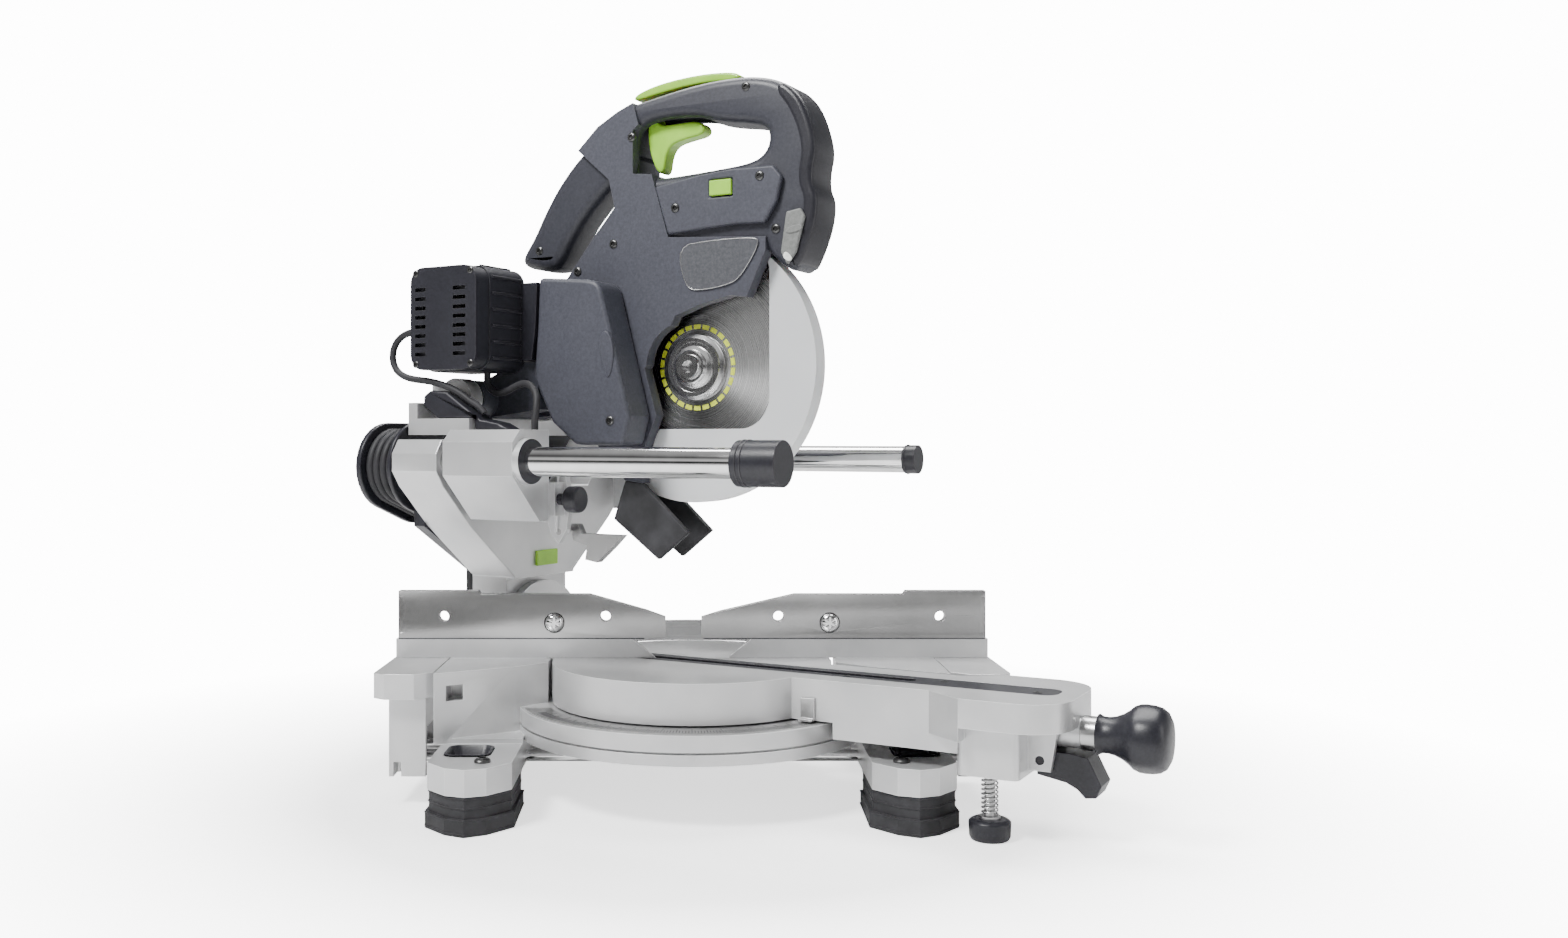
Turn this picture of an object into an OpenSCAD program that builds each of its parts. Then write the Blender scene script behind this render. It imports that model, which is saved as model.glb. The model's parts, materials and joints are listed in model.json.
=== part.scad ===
// Sliding compound mitre saw, drawn at the pose it is stored in: arm mitred fully
// to the right, head raised, carriage back, both sliding fences closed.
// Origin: turntable pivot axis at floor level. X is across the fence, Y points
// away from the operator, Z is up.
// The swivel assembly is drawn square to the fence and then turned by `mitre`.
// There, t is the distance forward along the arm, s the distance to the
// operator's right, and z the height.

/* [Base] */
// Height of the table surface above the floor
table_z = 110; // [100:1:125]
// Radius of the turntable disc
disc_r = 121; // [115:1:121]
// Outer radius of the mitre scale ring
ring_r = 149; // [145:1:150]
// Height of the top of the scale ring
ring_z = 75; // [70:1:76]
// Distance from the centre to the outer end of each fixed wing
wing_x = 212; // [205:1:214]
// Spacing of the bench bolt holes across the saw
bolt_x = 326; // [322:1:332]
// Spacing of the bench bolt holes front to back
bolt_y = 262; // [256:1:268]
// Diameter of the bench bolt holes
bolt_d = 8.4; // [6.4:0.2:9]

/* [Fence] */
// Distance of the fence face behind the pivot
fence_y = 10; // [9:1:11]
// Thickness of the lower fence
fence_t = 12; // [10:1:12]
// Height of the lower fence above the table
fence_low = 17; // [15:1:18]
// Height of the sliding fence above the table
fence_top = 59; // [50:1:60]
// Half length of the fence
fence_x = 260; // [240:1:262]

/* [Arm] */
// Mitre angle of the stored pose
mitre = 60; // [60:1:60]
// Half width of the arm's narrow part
arm_w = 38; // [30:1:38]
// Half width of the arm's front end
arm_end_w = 60; // [50:1:60]
// Length of the arm from the pivot
arm_len = 338; // [330:1:342]

/* [Rails] */
// Distance of each guide rail from the blade plane
rail_s = 136; // [134:1:138]
// Height of the guide rails
rail_z = 284; // [282:1:286]
// Diameter of the guide rails
rail_d = 24; // [20:1:24]
// Position of the back of the column along the arm axis
rail_back = -206; // [-210:1:-204]

/* [Head] */
// Blade diameter
blade_d = 216; // [200:1:216]
// Blade thickness at the teeth
blade_t = 2.4; // [1.6:0.1:2.4]
// Arbor position along the arm
arbor_t = 6; // [4:1:8]
// Arbor height with the head raised
arbor_z = 364.5; // [362:0.5:366]
// Chop pivot position along the arm
pivot_t = -188; // [-190:1:-186]
// Chop pivot height
pivot_z = 338; // [336:1:340]
// Outer radius of the swinging guard
guard_r = 117; // [113:1:117]

/* [Hidden] */
$fn = 64;
e = 0.02;                      // overlap that joins two shapes into one solid
fit = 0.05;                    // radial clearance of a running fit
gap = 0.4;                     // clearance between neighbouring moving pieces
foot_top = 51;                 // top of the foot blocks, bottom of the wings
rubber_h = 30;                 // height of the rubber feet
rod_z = 36;                    // height of the extension rods
rod_y = [-40, 8];              // their positions front to back
rod_d = 10;
disc_z0 = ring_z + 2;          // underside of the disc
trunnion_r = 62;               // radius of the bevel trunnion
trunnion_t = -158;             // its front face
trunnion_l = 8;
column_t = -157;               // front face of the column's arms
car_back = -150;               // ends of the near carriage boss
car_front = -78;
motor_s = -122;                // outer face of the motor's end cap
motor_t = [-214, -140];        // motor front to back
motor_z = [361, 452];          // motor bottom and top
shaft_t = -177;                // motor shaft
shaft_z = 406;
plate_s = [-24, 22];           // outer faces of the blade housing
cap_near = [119, 156];
cap_far = [145, 157];
screw_x = 121;                 // fence clamping screw
foot_t = 276;                  // support foot along the arm
foot_s = -28;
knob_z = 82;                   // axis of the mitre knob
drum_top = [102, 278];         // corner centres of the winder's drum, in (s, z)
drum_low = [66, 264];
drum_r = 26;
lever_t = 312;                 // pin of the detent lever
lever_z = 62;
lever_w = 14;                  // half width of the lever
bearing_d = rail_d + 8;        // outer diameter of the rail bearings
lock_s = -97;                  // axis of the slide lock knob
lock_z = 252;
hook_t = -78;                  // pin of the deflector hook
hook_z = 224;
trigger_pin = [-36, 585];      // pins of the two handle levers, in (t, z)
unlock_pin = [48, 609];
pin_d = 4;
guard_a = [-122, 52];          // ends of the swinging guard, degrees above the arm
cable_d = 6;
// centre lines of the motor's two cables to the carriage, as [s, -t, z]
end_cap_route = [
    [-114, 214.2, 396], [-114, 222, 395.5], [-114, 230, 392.5], [-114, 236.5, 387],
    [-114, 240, 379.5], [-114, 240, 371], [-114, 236, 363.5], [-114, 229, 358.5],
    [-113.5, 220, 355.5], [-113, 210, 354], [-112, 199, 352.5], [-111, 188, 350],
    [-110, 177, 346], [-109, 167, 341], [-108, 158, 335], [-107, 150, 330.5], [-106, 144, 324.5]];
motor_route = [
    [-82, 160, 360.8], [-82, 160, 353], [-82.5, 156, 346.5], [-84, 149, 343],
    [-86, 140, 342.5], [-89, 130, 345], [-92, 119, 348.5], [-96, 108, 349.5],
    [-100, 98, 346], [-104, 91, 339], [-107, 88.5, 331], [-109, 88, 323], [-110, 88, 316.5],
    [-110, 88, 310.1]];
cord_d = 7.5;                  // the mains lead
winding_h = cord_d + 0.5;      // its one layer on the drum
silver = [0.80, 0.81, 0.82];
black = [0.13, 0.13, 0.15];
grey = [0.30, 0.30, 0.33];
lime = [0.48, 0.74, 0.16];
steel = [0.62, 0.63, 0.64];

// ---- placing helpers ------------------------------------------------------

// Turns the swivel assembly to the stored mitre angle.
module swivel() { rotate([0, 0, mitre]) children(); }

// A flat outline in (t, z), given thickness from s0 to s1.
module side(s0, s1) {
    translate([s1, 0, 0]) rotate([90, 0, -90]) linear_extrude(s1 - s0) children();
}

// A flat outline in (s, z), given length from t0 to t1 along the arm.
module across(t0, t1) {
    translate([0, -t0, 0]) rotate([90, 0, 0]) linear_extrude(t1 - t0) children();
}

// A round bar along the arm axis, and one across it.
module bar_t(t0, t1, s, z, d) {
    across(t0, t1) translate([s, z]) circle(d = d);
}
module bar_s(s0, s1, t, z, d) {
    side(s0, s1) translate([t, z]) circle(d = d);
}

// A flat outline with its corners rounded by exact arcs, as a union of a
// rectangle pair and four discs.
module round_rect(x0, y0, x1, y1, r) {
    translate([x0 + r, y0]) square([x1 - x0 - 2 * r, y1 - y0]);
    translate([x0, y0 + r]) square([x1 - x0, y1 - y0 - 2 * r]);
    for (x = [x0 + r, x1 - r], y = [y0 + r, y1 - r]) translate([x, y]) circle(r = r);
}

// A block from one corner to the other.
module block(a, b) { translate(a) cube(b - a); }

// Points of an arc about c, from angle a0 to a1 in n steps.
function arc(c, r, a0, a1, n) =
    [for (i = [0:n]) let (a = a0 + (a1 - a0) * i / n) c + r * [cos(a), sin(a)]];

// Draws a child and its mirror image across the fence's middle.
module both() { children(); mirror([1, 0, 0]) children(); }

// ---- base -----------------------------------------------------------------

// Outline of the right wing seen from above; its front edge runs parallel to
// the arm at full mitre, and its back stays clear of the trunnion.
module wing_outline() {
    edge = arm_w + 6;
    function front(x) = (edge - 0.5 * x) / cos(30);
    polygon([[124, -12], [150, front(150)], [wing_x, front(wing_x)],
             [wing_x, 23], [141, 23], [124, 15]]);
}

module base_casting() {
    color(silver) difference() {
        union() {
            // floor plate and scale ring
            translate([0, 0, foot_top]) cylinder(r = ring_r, h = 9, $fn = 128);
            translate([0, 0, foot_top + 9 - e]) cylinder(r = ring_r - 4, h = 5, $fn = 128);
            translate([0, 0, 62]) cylinder(r = ring_r, h = ring_z - 62, $fn = 128);
            both() {
                translate([0, 0, foot_top - e]) linear_extrude(table_z - foot_top)
                    wing_outline();
                // foot blocks, and the side frames that carry the rods
                translate([0, 0, rubber_h]) linear_extrude(foot_top - rubber_h)
                    polygon([[140, -62], [140, -132], [157, -152], [173, -158],
                             [189, -152], [206, -132], [206, -62]]);
                block([140, -64, 30], [206, 24, foot_top + 4]);
                block([150, 23, 24], [200, 162, 44]);
                block([140, 108, 30], [206, 162, 44]);
            }
            // struts that tie the ring to the side frames
            block([-150, 60, 52], [150, 100, 60]);
            both() block([136, 60, 30], [160, 100, 60]);
        }
        // recess that the turntable's rim and its pivot sit in
        translate([0, 0, 62]) cylinder(r = disc_r - 10, h = 20, $fn = 128);
        cylinder(r = 10 + fit, h = 100);
        // room behind for the trunnion at every mitre angle
        rear_sweep();
        both() {
            for (y = rod_y) translate([130, y, rod_z]) rotate([0, 90, 0])
                cylinder(d = rod_d + 2 * fit, h = 90);
            // bench bolt holes, and the cups beside them
            for (y = [-1, 1]) translate([bolt_x / 2, y * bolt_y / 2, 20])
                cylinder(d = bolt_d, h = 40);
            translate([160, -94, foot_top - 12]) linear_extrude(20)
                round_rect(0, -20, 38, 20, 9);
            // clamp post hole in the wing's front corner
            translate([190, -90, 86]) cube([13, 50, 13]);
        }
    }
}

// Everything above z 46 and behind the disc, between the radii the rear of the
// turntable sweeps, is open.
module rear_sweep() {
    translate([0, 0, 46]) difference() {
        cylinder(r = 275, h = 40, $fn = 128);
        translate([0, 0, -1]) cylinder(r = ring_r + 1, h = 60, $fn = 128);
        translate([-300, -300, -1]) cube([600, 323, 60]);
    }
}

module mitre_scale() {
    color(steel) difference() {
        translate([0, 0, ring_z]) cylinder(r = ring_r - 3, h = 0.8, $fn = 128);
        translate([0, 0, ring_z - 1]) cylinder(r = disc_r + 4, h = 4, $fn = 128);
        translate([-200, -40, ring_z - 1]) cube([400, 260, 4]);
    }
}

module rubber_feet() {
    color(black) both() {
        difference() {
            union() {
                linear_extrude(rubber_h) polygon([[141, -64], [141, -130],
                    [158, -150], [173, -158], [188, -150], [205, -130], [205, -64]]);
                linear_extrude(13) polygon([[139, -64], [138, -131], [157, -153],
                    [173, -161], [189, -153], [208, -131], [207, -64]]);
            }
            translate([bolt_x / 2, -bolt_y / 2, -1]) cylinder(d = bolt_d, h = 40);
        }
        difference() {
            union() {
                block([150, 110, 0], [200, 160, 24]);
                block([141, 110, 0], [205, 160, 24]);
                block([141, 110, 24 - e], [149.9, 160, 30]);
                block([200.1, 110, 24 - e], [205, 160, 30]);
            }
            translate([bolt_x / 2, bolt_y / 2, -1]) cylinder(d = bolt_d, h = 40);
        }
    }
}

// Two lower fences joined by an arch that passes behind the blade.
module lower_fence() {
    y1 = fence_y + fence_t;
    color(silver) {
        both() difference() {
            union() {
                block([31, fence_y, table_z + 0.3], [fence_x, y1, table_z + fence_low]);
                block([128, fence_y, table_z], [wing_x, y1, table_z + 1]);
            }
            // inner end: parallel to the blade at full mitre, and sloped
            translate([31, fence_y, table_z - 1]) rotate([0, 0, -mitre])
                translate([-60, -20, 0]) cube([60, 80, 40]);
            translate([31, 0, table_z]) rotate([0, 52, 0])
                translate([-60, 0, -40]) cube([60, 60, 80]);
            block([fence_x - 18, y1 - 4, table_z - 1], [fence_x + 1, y1 + 1, 140]);
        }
        difference() {
            translate([0, 0, table_z + 2]) cylinder(r = 142, h = 10, $fn = 128);
            translate([0, 0, table_z]) cylinder(r = 134, h = 20, $fn = 128);
            translate([-200, -200, table_z]) cube([400, 200 + fence_y + 2, 30]);
        }
    }
}

// ---- extensions -----------------------------------------------------------

module extension_table() {
    x0 = wing_x + 1.5;
    color(silver) difference() {
        union() {
            translate([0, 0, table_z - 21]) linear_extrude(21)
                polygon([[x0, -64], [x0 + 14, -76], [252, -76], [262, -68],
                         [262, 23], [x0, 23]]);
            block([x0 + 6, -66, 24], [250, 20, table_z - 21 + e]);
        }
        block([x0 + 1, -60, 23], [244, 14, 64]);
        for (y = rod_y) translate([200, y, rod_z]) rotate([0, 90, 0])
            cylinder(d = rod_d, h = 60);
        block([240, -70, 20], [246, -50, 36]);
    }
    // bosses that hold the rods
    color(silver) for (y = rod_y) difference() {
        block([236, y - 9, rod_z - 9], [246, y + 9, rod_z + 9]);
        translate([200, y, rod_z]) rotate([0, 90, 0]) cylinder(d = rod_d, h = 60);
    }
}
module left_extension_table() { mirror([1, 0, 0]) extension_table(); }
module right_extension_table() { extension_table(); }

module extension_rods() {
    color(steel) for (y = rod_y) translate([16, y, rod_z]) rotate([0, 90, 0])
        cylinder(d = rod_d, h = 234);
}
module left_extension_rods() { mirror([1, 0, 0]) extension_rods(); }
module right_extension_rods() { extension_rods(); }

// ---- sliding fences -------------------------------------------------------

// inner is the distance of the inner end from the middle.
module upper_fence(inner) {
    z0 = table_z + fence_low + gap;
    top = table_z + fence_top;
    t = 10;
    color(silver) difference() {
        translate([0, fence_y + t, 0]) rotate([90, 0, 0]) linear_extrude(t)
            polygon([[inner, z0], [258, z0], [258, top], [188, top],
                     [186, top - 3], [90, top - 3], [inner, table_z + 37]]);
        translate([inner, fence_y, 0]) rotate([0, 0, -mitre])
            translate([-60, -20, 100]) cube([60, 80, 90]);
        for (x = [76, 218]) translate([x, 0, table_z + 36.6]) rotate([-90, 0, 0])
            cylinder(d = 9, h = 60);
        translate([screw_x, 0, table_z + 31]) rotate([-90, 0, 0])
            cylinder(d = 8 + 2 * fit, h = 60);
        translate([screw_x, fence_y - 1, table_z + 31]) rotate([-90, 0, 0])
            cylinder(d = 17 + 2 * gap, h = 5);
        translate([254, fence_y - 1, table_z + 22]) cube([3, 2, 32]);
    }
}
module left_upper_fence() { mirror([1, 0, 0]) upper_fence(23); }
module right_upper_fence() { upper_fence(8); }

module fence_screw() {
    color(steel) translate([screw_x, fence_y + 0.4, table_z + 31]) rotate([-90, 0, 0])
        difference() {
            union() {
                cylinder(d = 17, h = 3.2);
                cylinder(d = 8, h = 12);
            }
            for (a = [0, 60, 120]) rotate([0, 0, a]) translate([-4, -0.8, -1])
                cube([8, 1.6, 2.6]);
        }
}
module left_fence_screw() { mirror([1, 0, 0]) fence_screw(); }
module right_fence_screw() { fence_screw(); }

// ---- turntable ------------------------------------------------------------

// The arm seen from above, in (t, s), grown by g.
module arm_outline(g = 0) {
    w = arm_w + g;
    we = arm_end_w + g;
    r = 36;
    polygon(concat([[100, -w], [231, -w], [262, -we]],
        arc([arm_len - r + g, -we + r], r, -90, 0, 8),
        arc([arm_len - r + g, we - r], r, 0, 90, 8),
        [[262, we], [231, w], [100, w]]));
}

// Turns a (t, s) plan into place.
module plan() { rotate([0, 0, -90]) children(); }

module turntable() {
    color(silver) swivel() difference() {
        union() {
            translate([0, 0, disc_z0]) cylinder(r = disc_r, h = table_z - disc_z0, $fn = 128);
            // the arm bridges the scale ring and drops outside it
            translate([0, 0, disc_z0]) linear_extrude(table_z - disc_z0) plan()
                intersection() { arm_outline(); translate([90, -80]) square([172, 160]); }
            translate([0, 0, 64]) linear_extrude(20) plan()
                translate([ring_r + 2, -arm_w]) square([104, 2 * arm_w]);
            translate([0, 0, table_z - 22]) linear_extrude(22) plan()
                intersection() { arm_outline(); translate([231, -80]) square([130, 160]); }
            // boss over the support foot, and the knob's boss
            translate([0, 0, 50]) linear_extrude(40) plan()
                round_rect(255, -46, 303, 38, 6);
            bar_t(255, arm_len + 1, 0, knob_z, 24);
            // rear neck under the fence's arch, to the trunnion
            translate([0, 0, disc_z0 + 1]) linear_extrude(29) plan()
                translate([-151, -42]) square([70, 84]);
            rear_flange();
            // ears for the detent lever's pin
            for (s = [-lever_w - 7, lever_w + 1]) side(s, s + 6)
                polygon([[300, 90], [300, lever_z - 8], [320, lever_z - 8], [326, 90]]);
            translate([0, 0, 46]) cylinder(r = 10, h = disc_z0 - 46 + e);
        }
        // kerf channel, its insert's recess, and the room under the blade
        translate([0, 0, table_z - 2.5]) linear_extrude(4) plan()
            round_rect(-96, -16, 322, 16, 12);
        translate([0, 0, table_z - 14]) linear_extrude(14) plan()
            round_rect(-92, -12, 208, 12, 6);
        // screw thread and knob bores, and the pivot pin's own bolt hole
        translate([0, 0, 44]) cylinder(r = 4, h = 20);
        plan_bore(foot_t, foot_s, 40, 60, 8 + 2 * fit);
        bar_t(300, arm_len + 5, 0, knob_z, 12 + 2 * fit);
        bar_s(-30, 30, lever_t, lever_z, 7 + 2 * fit);
    }
}

// Upright hole at (t, s), depth h from z0.
module plan_bore(t, s, z0, h, d) {
    translate([s, -t, z0]) cylinder(d = d, h = h);
}

// Plate at the back of the turntable that the trunnion is bolted to.
module rear_flange() {
    across(trunnion_t, -150) translate([0, table_z]) intersection() {
        circle(r = 50);
        translate([-60, -34]) square([120, 60]);
    }
}

module kerf_insert() {
    color(black) swivel() difference() {
        translate([0, 0, table_z - 2.5]) linear_extrude(2.4) plan()
            round_rect(-95.7, -15.7, 321.7, 15.7, 11.7);
        translate([0, 0, table_z - 4]) linear_extrude(6) plan()
            round_rect(-88, -4.8, 206, 4.8, 4.6);
    }
}

module trunnion() {
    color(silver) swivel() difference() {
        bar_t(trunnion_t - trunnion_l, trunnion_t, 0, table_z, 2 * trunnion_r);
        bar_t(trunnion_t - 20, trunnion_t + 1, 0, table_z, 20);
        for (a = [30, 150, 210, 330])
            bar_t(trunnion_t - 20, trunnion_t + 1, 44 * cos(a), table_z + 44 * sin(a), 6);
    }
}

module mitre_pointer() {
    color(steel) swivel() {
        block([-46, -136, ring_z + 2], [-arm_w - e, -124, ring_z + 4]);
        block([-41, -136, ring_z + 4 - e], [-arm_w - e, -124, ring_z + 20]);
    }
}

// ---- mitre knob and detent lever ------------------------------------------

module knob_neck() {
    color(steel) swivel() difference() {
        bar_t(arm_len + 1 + e, arm_len + 14, 0, knob_z, 26);
        bar_t(arm_len - 1, arm_len + 20, 0, knob_z, 12 + 2 * fit);
    }
}

module mitre_knob() {
    color(black) swivel() translate([0, -arm_len, knob_z]) rotate([90, 0, 0]) {
        rotate_extrude($fn = 48) polygon([[0, 15], [13, 15], [13.5, 22], [17, 31],
            [24, 38], [26, 46], [25, 56], [21, 62], [12, 65.5], [0, 66]]);
        translate([0, 0, -36]) cylinder(d = 12, h = 52);
    }
}

module detent_lever() {
    color(black) swivel() side(-lever_w, lever_w)
        polygon([[308, 68], [334, 68], [346, 66], [356, 46], [352, 37], [344, 36],
                 [338, 42], [330, 46], [308, 50]]);
    color(black) swivel() bar_s(-20, 20, lever_t, lever_z, 7);
}

// ---- support foot ---------------------------------------------------------

module support_screw() {
    color(steel) swivel() {
        plan_bore(foot_t, foot_s, 14, 66, 8);
        translate([foot_s, -foot_t, 16]) cylinder(d = 16, h = 2);
    }
}
module support_pad() {
    color(black) swivel() translate([foot_s, -foot_t, 0]) difference() {
        rotate_extrude() polygon([[0, 0], [14, 0], [15.5, 3], [16, 14], [13, 16], [0, 16]]);
        translate([0, 0, 14]) cylinder(d = 8, h = 9);
    }
}
module support_spring() {
    color(steel) swivel() translate([foot_s, -foot_t, 18.2]) difference() {
        cylinder(d = 14, h = 31.4);
        translate([0, 0, -1]) cylinder(d = 9.4, h = 40);
    }
}

// ---- bevel arm ------------------------------------------------------------

// Outline of the column in (s, z): a narrow neck that opens into two arms.
module column_outline() {
    polygon([[-46, table_z + 4], [-46, 178], [-108, 226], [-145, 262], [-154, 275],
             [-154, 290], [-146, 302], [-108, 302], [-96, 290], [-70, 258],
             [70, 258], [96, 290], [108, 302], [146, 302], [154, 290],
             [154, 275], [145, 262], [108, 226], [46, 178], [46, table_z + 4]]);
}

module bevel_column() {
    color(silver) swivel() {
        difference() {
            union() {
                across(rail_back, column_t) intersection() {
                    column_outline();
                    translate([-200, 176]) square([400, 200]);
                }
                across(rail_back, trunnion_t - trunnion_l - gap) intersection() {
                    column_outline();
                    translate([-200, 100]) square([400, 77]);
                }
                across(rail_back + 14, trunnion_t - trunnion_l - gap)
                    translate([0, table_z]) circle(r = trunnion_r - 3);
            }
            for (s = [-rail_s, rail_s]) bar_t(rail_back - 5, -100, s, rail_z, rail_d);
            bar_t(rail_back - 5, -100, 0, table_z, 20);
            // hollow back
            across(rail_back - 1, rail_back + 30) polygon([[-34, 190], [-90, 236],
                [-66, 250], [66, 250], [90, 236], [34, 190]]);
        }
    }
    // bevel spindle
    color(steel) swivel() bar_t(-222, trunnion_t - gap, 0, table_z, 20 - 2 * fit);
}

module column_cover() {
    color(black) swivel() difference() {
        across(rail_back - 12, rail_back - e) polygon([[-40, 100], [-40, 182], [-112, 226],
            [-112, 240], [112, 240], [112, 226], [40, 182], [40, 100]]);
        bar_t(rail_back - 20, rail_back + 5, 0, table_z, 24);
    }
}

// The drum that the mains lead is stored on.
module drum_outline(g) {
    hull() for (s = [-1, 1]) {
        translate([s * drum_top[0], drum_top[1]]) circle(r = drum_r + g, $fn = 32);
        translate([s * drum_low[0], drum_low[1]]) circle(r = drum_r + g, $fn = 32);
    }
}
module cord_winder() {
    color(black) swivel() difference() {
        union() {
            across(rail_back - 17, rail_back - 12.5) drum_outline(14);
            across(rail_back - 48, rail_back - 16) drum_outline(0);
            across(rail_back - 54, rail_back - 48 + e) drum_outline(13);
        }
        across(rail_back - 60, rail_back - 22) drum_outline(-5);
    }
    color(black) swivel() across(rail_back - 13, rail_back - e)
        for (s = [-96, 76]) translate([s, 246]) square([20, 34]);
}

module mains_winding() {
    color(black) swivel() across(rail_back - 47.6, rail_back - 17.4) difference() {
        drum_outline(winding_h);
        drum_outline(0.3);
    }
}

// The plug hangs under the winding, with its pins pointing away from the lead.
module mains_plug() {
    top = drum_low[1] - drum_r - winding_h;
    color(black) swivel() translate([-32, -rail_back + 21, top - 30]) {
        cube([44, 26, 30]);
        for (z = [5.5, 24.5]) translate([e, 13, z]) rotate([0, -90, 0])
            cylinder(d = 4.8, h = 19);
    }
}

module angle_window() {
    color(lime) swivel() across(column_t + e, column_t + 3)
        translate([-16, 186]) square([32, 14]);
}

module guide_rails() {
    color(steel) swivel() {
        bar_t(rail_back, cap_near[0] + 20, -rail_s, rail_z, rail_d);
        bar_t(rail_back, cap_far[0] + 8, rail_s, rail_z, rail_d);
    }
}

module rail_caps() {
    color(black) swivel() {
        difference() {
            bar_t(cap_near[0], cap_near[1], -rail_s, rail_z, 35);
            bar_t(cap_near[0] - 1, cap_near[0] + 20, -rail_s, rail_z, rail_d);
        }
        difference() {
            bar_t(cap_far[0], cap_far[1], rail_s, rail_z, 26);
            bar_t(cap_far[0] - 1, cap_far[0] + 8, rail_s, rail_z, rail_d);
        }
    }
}

module bevel_clamp() {
    color(black) swivel() {
        bar_t(-236, -222.2, 0, table_z, 28);
        side(-7, 7) polygon([[-236, 102], [-226, 102], [-226, 58], [-234, 54], [-240, 60]]);
    }
}

// ---- carriage -------------------------------------------------------------

module carriage_boss() {
    difference() {
        union() {
            across(car_back, car_front) intersection() {
                polygon([[-154, 272], [-154, 300], [-144, 310], [-104, 310],
                         [-104, 234], [-117, 234]]);
                translate([-200, 200]) square([200, 200]);
            }
            bar_t(car_front - e, car_front + 6, -rail_s, rail_z, 38);
        }
        bar_t(car_back - 5, car_front + 20, -rail_s, rail_z, bearing_d);
    }
}

module carriage() {
    color(silver) swivel() {
        carriage_boss();
        mirror([1, 0, 0]) carriage_boss();
        // side beams, the rear bridge over the column, and the pivot lugs
        for (m = [0, 1]) mirror([m, 0, 0]) {
            block([-120, -car_back - e, 306], [-104, 217, 320]);
            block([-120, -car_back - 20, 300], [-104, -car_back + e, 310]);
        }
        block([-120, 207, 306], [120, 217, 334]);
        for (s = [[-92, -76], [42, 58]]) difference() {
            union() {
                bar_s(s[0], s[1], pivot_t, pivot_z, 36);
                block([s[0], -pivot_t, 320], [s[1], 214, 352]);
            }
            bar_s(s[0] - 1, s[1] + 1, pivot_t, pivot_z, 16);
        }
    }
}

module linear_bearings() {
    color(steel) swivel() for (s = [-rail_s, rail_s], t = [car_back + 4, car_front - 28])
        difference() {
            bar_t(t, t + 24, s, rail_z, bearing_d);
            bar_t(t - 1, t + 25, s, rail_z, rail_d + 2 * fit);
        }
}

module rail_seals() {
    color(black) swivel() for (s = [-rail_s, rail_s], t = [car_back, car_front + 2])
        difference() {
            bar_t(t, t + 3.5, s, rail_z, bearing_d);
            bar_t(t - 1, t + 5, s, rail_z, rail_d + 2 * fit);
        }
}

module stop_bracket() {
    color(silver) swivel() difference() {
        union() {
            block([-104 + e, 72, 238], [-90, 98, 266]);
            side(-90 - e, -84) polygon([[-98, 262], [-72, 276], [-66, 250], [-70, 226],
                                        [-78, 214], [-86, 222]]);
        }
        bar_t(-110, -60, lock_s, lock_z, 10);
        bar_s(-100, -80, hook_t, hook_z, 6 + 2 * fit);
        bar_s(-100, -80, hook_t, 250, 8);
    }
}

module pivot_shaft() {
    color(steel) swivel() bar_s(-94, 60, pivot_t, pivot_z, 16);
}

module carriage_cover() {
    color(black) swivel() {
        side(-114, -94.5) polygon([[-206, 331], [-206, 340], [-198, 345], [-180, 343],
                                   [-150, 324], [-143, 319.4], [-124, 316], [-112, 310.2],
                                   [-149, 310.2], [-149, 320.2], [-190, 320.2]]);
    }
}

module slide_lock() {
    color(black) swivel() {
        bar_t(-63, -50, lock_s, lock_z, 22);
        bar_t(-86, -63 + e, lock_s, lock_z, 10 - 2 * fit);
    }
}

// ---- head -----------------------------------------------------------------

// Fixed shell of the blade housing, in (t, z).
module shell_outline() {
    polygon([[-116, 446], [-83, 486], [-65, 506], [-71, 531], [-104, 560], [-83, 579],
             [-62, 590], [-46, 596], [-10, 476], [84, 470], [84, 459], [66, 421],
             [51, 423], [19, 416], [-3, 408], [-12, 392], [-34, 364], [-22, 323],
             [-33, 297], [-36, 264], [-54, 266], [-83, 297], [-107, 317],
             [-128, 356], [-122, 420]]);
}

// Space inside the shell that the blade and the swinging guard turn in.
module blade_space() {
    bar_s(-11, 11, arbor_t, arbor_z, 2 * guard_r + 7);
}

module pivot_neck() {
    difference() {
        union() {
            bar_s(-72, 38, pivot_t, pivot_z, 34);
            side(-52, -25)
                polygon([[-188, 321], [-127.6, 328.4], [-127.6, 371], [-150, 371],
                         [-188, 355]]);
            side(12, 22)
                polygon([[-188, 321], [-110, 330], [-104, 400], [-128, 380], [-188, 355]]);
        }
        bar_s(-80, 46, pivot_t, pivot_z, 16 + 2 * fit);
    }
}

module head_housing() {
    color(grey) swivel() {
        difference() {
            side(plate_s[0], plate_s[1]) shell_outline();
            blade_space();
            side(-30, 30) window_outline();
            control_room();
            bar_s(-30, 0, arbor_t, arbor_z, 76);
            bar_s(0, 30, arbor_t, arbor_z, 30);
        }
        pivot_neck();
    }
}

module gear_cover() {
    color(grey) swivel() side(-60, plate_s[0] - e) difference() {
        polygon(concat([[-121, 444], [-72, 440]], arc([-68, 426], 13, 70, 10, 4),
            [[-38, 366], [-27, 322], [-34, 297], [-82, 297], [-107, 317], [-127, 356],
             [-123, 400]]));
    }
}

// A straight-sided slot outline of radius r from a to b, in (t, z).
module stadium(a, b, r) {
    d = b - a;
    translate(a) circle(r = r);
    translate(b) circle(r = r);
    translate(a) rotate(atan2(d[1], d[0])) translate([0, -r]) square([norm(d), 2 * r]);
}

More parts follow.
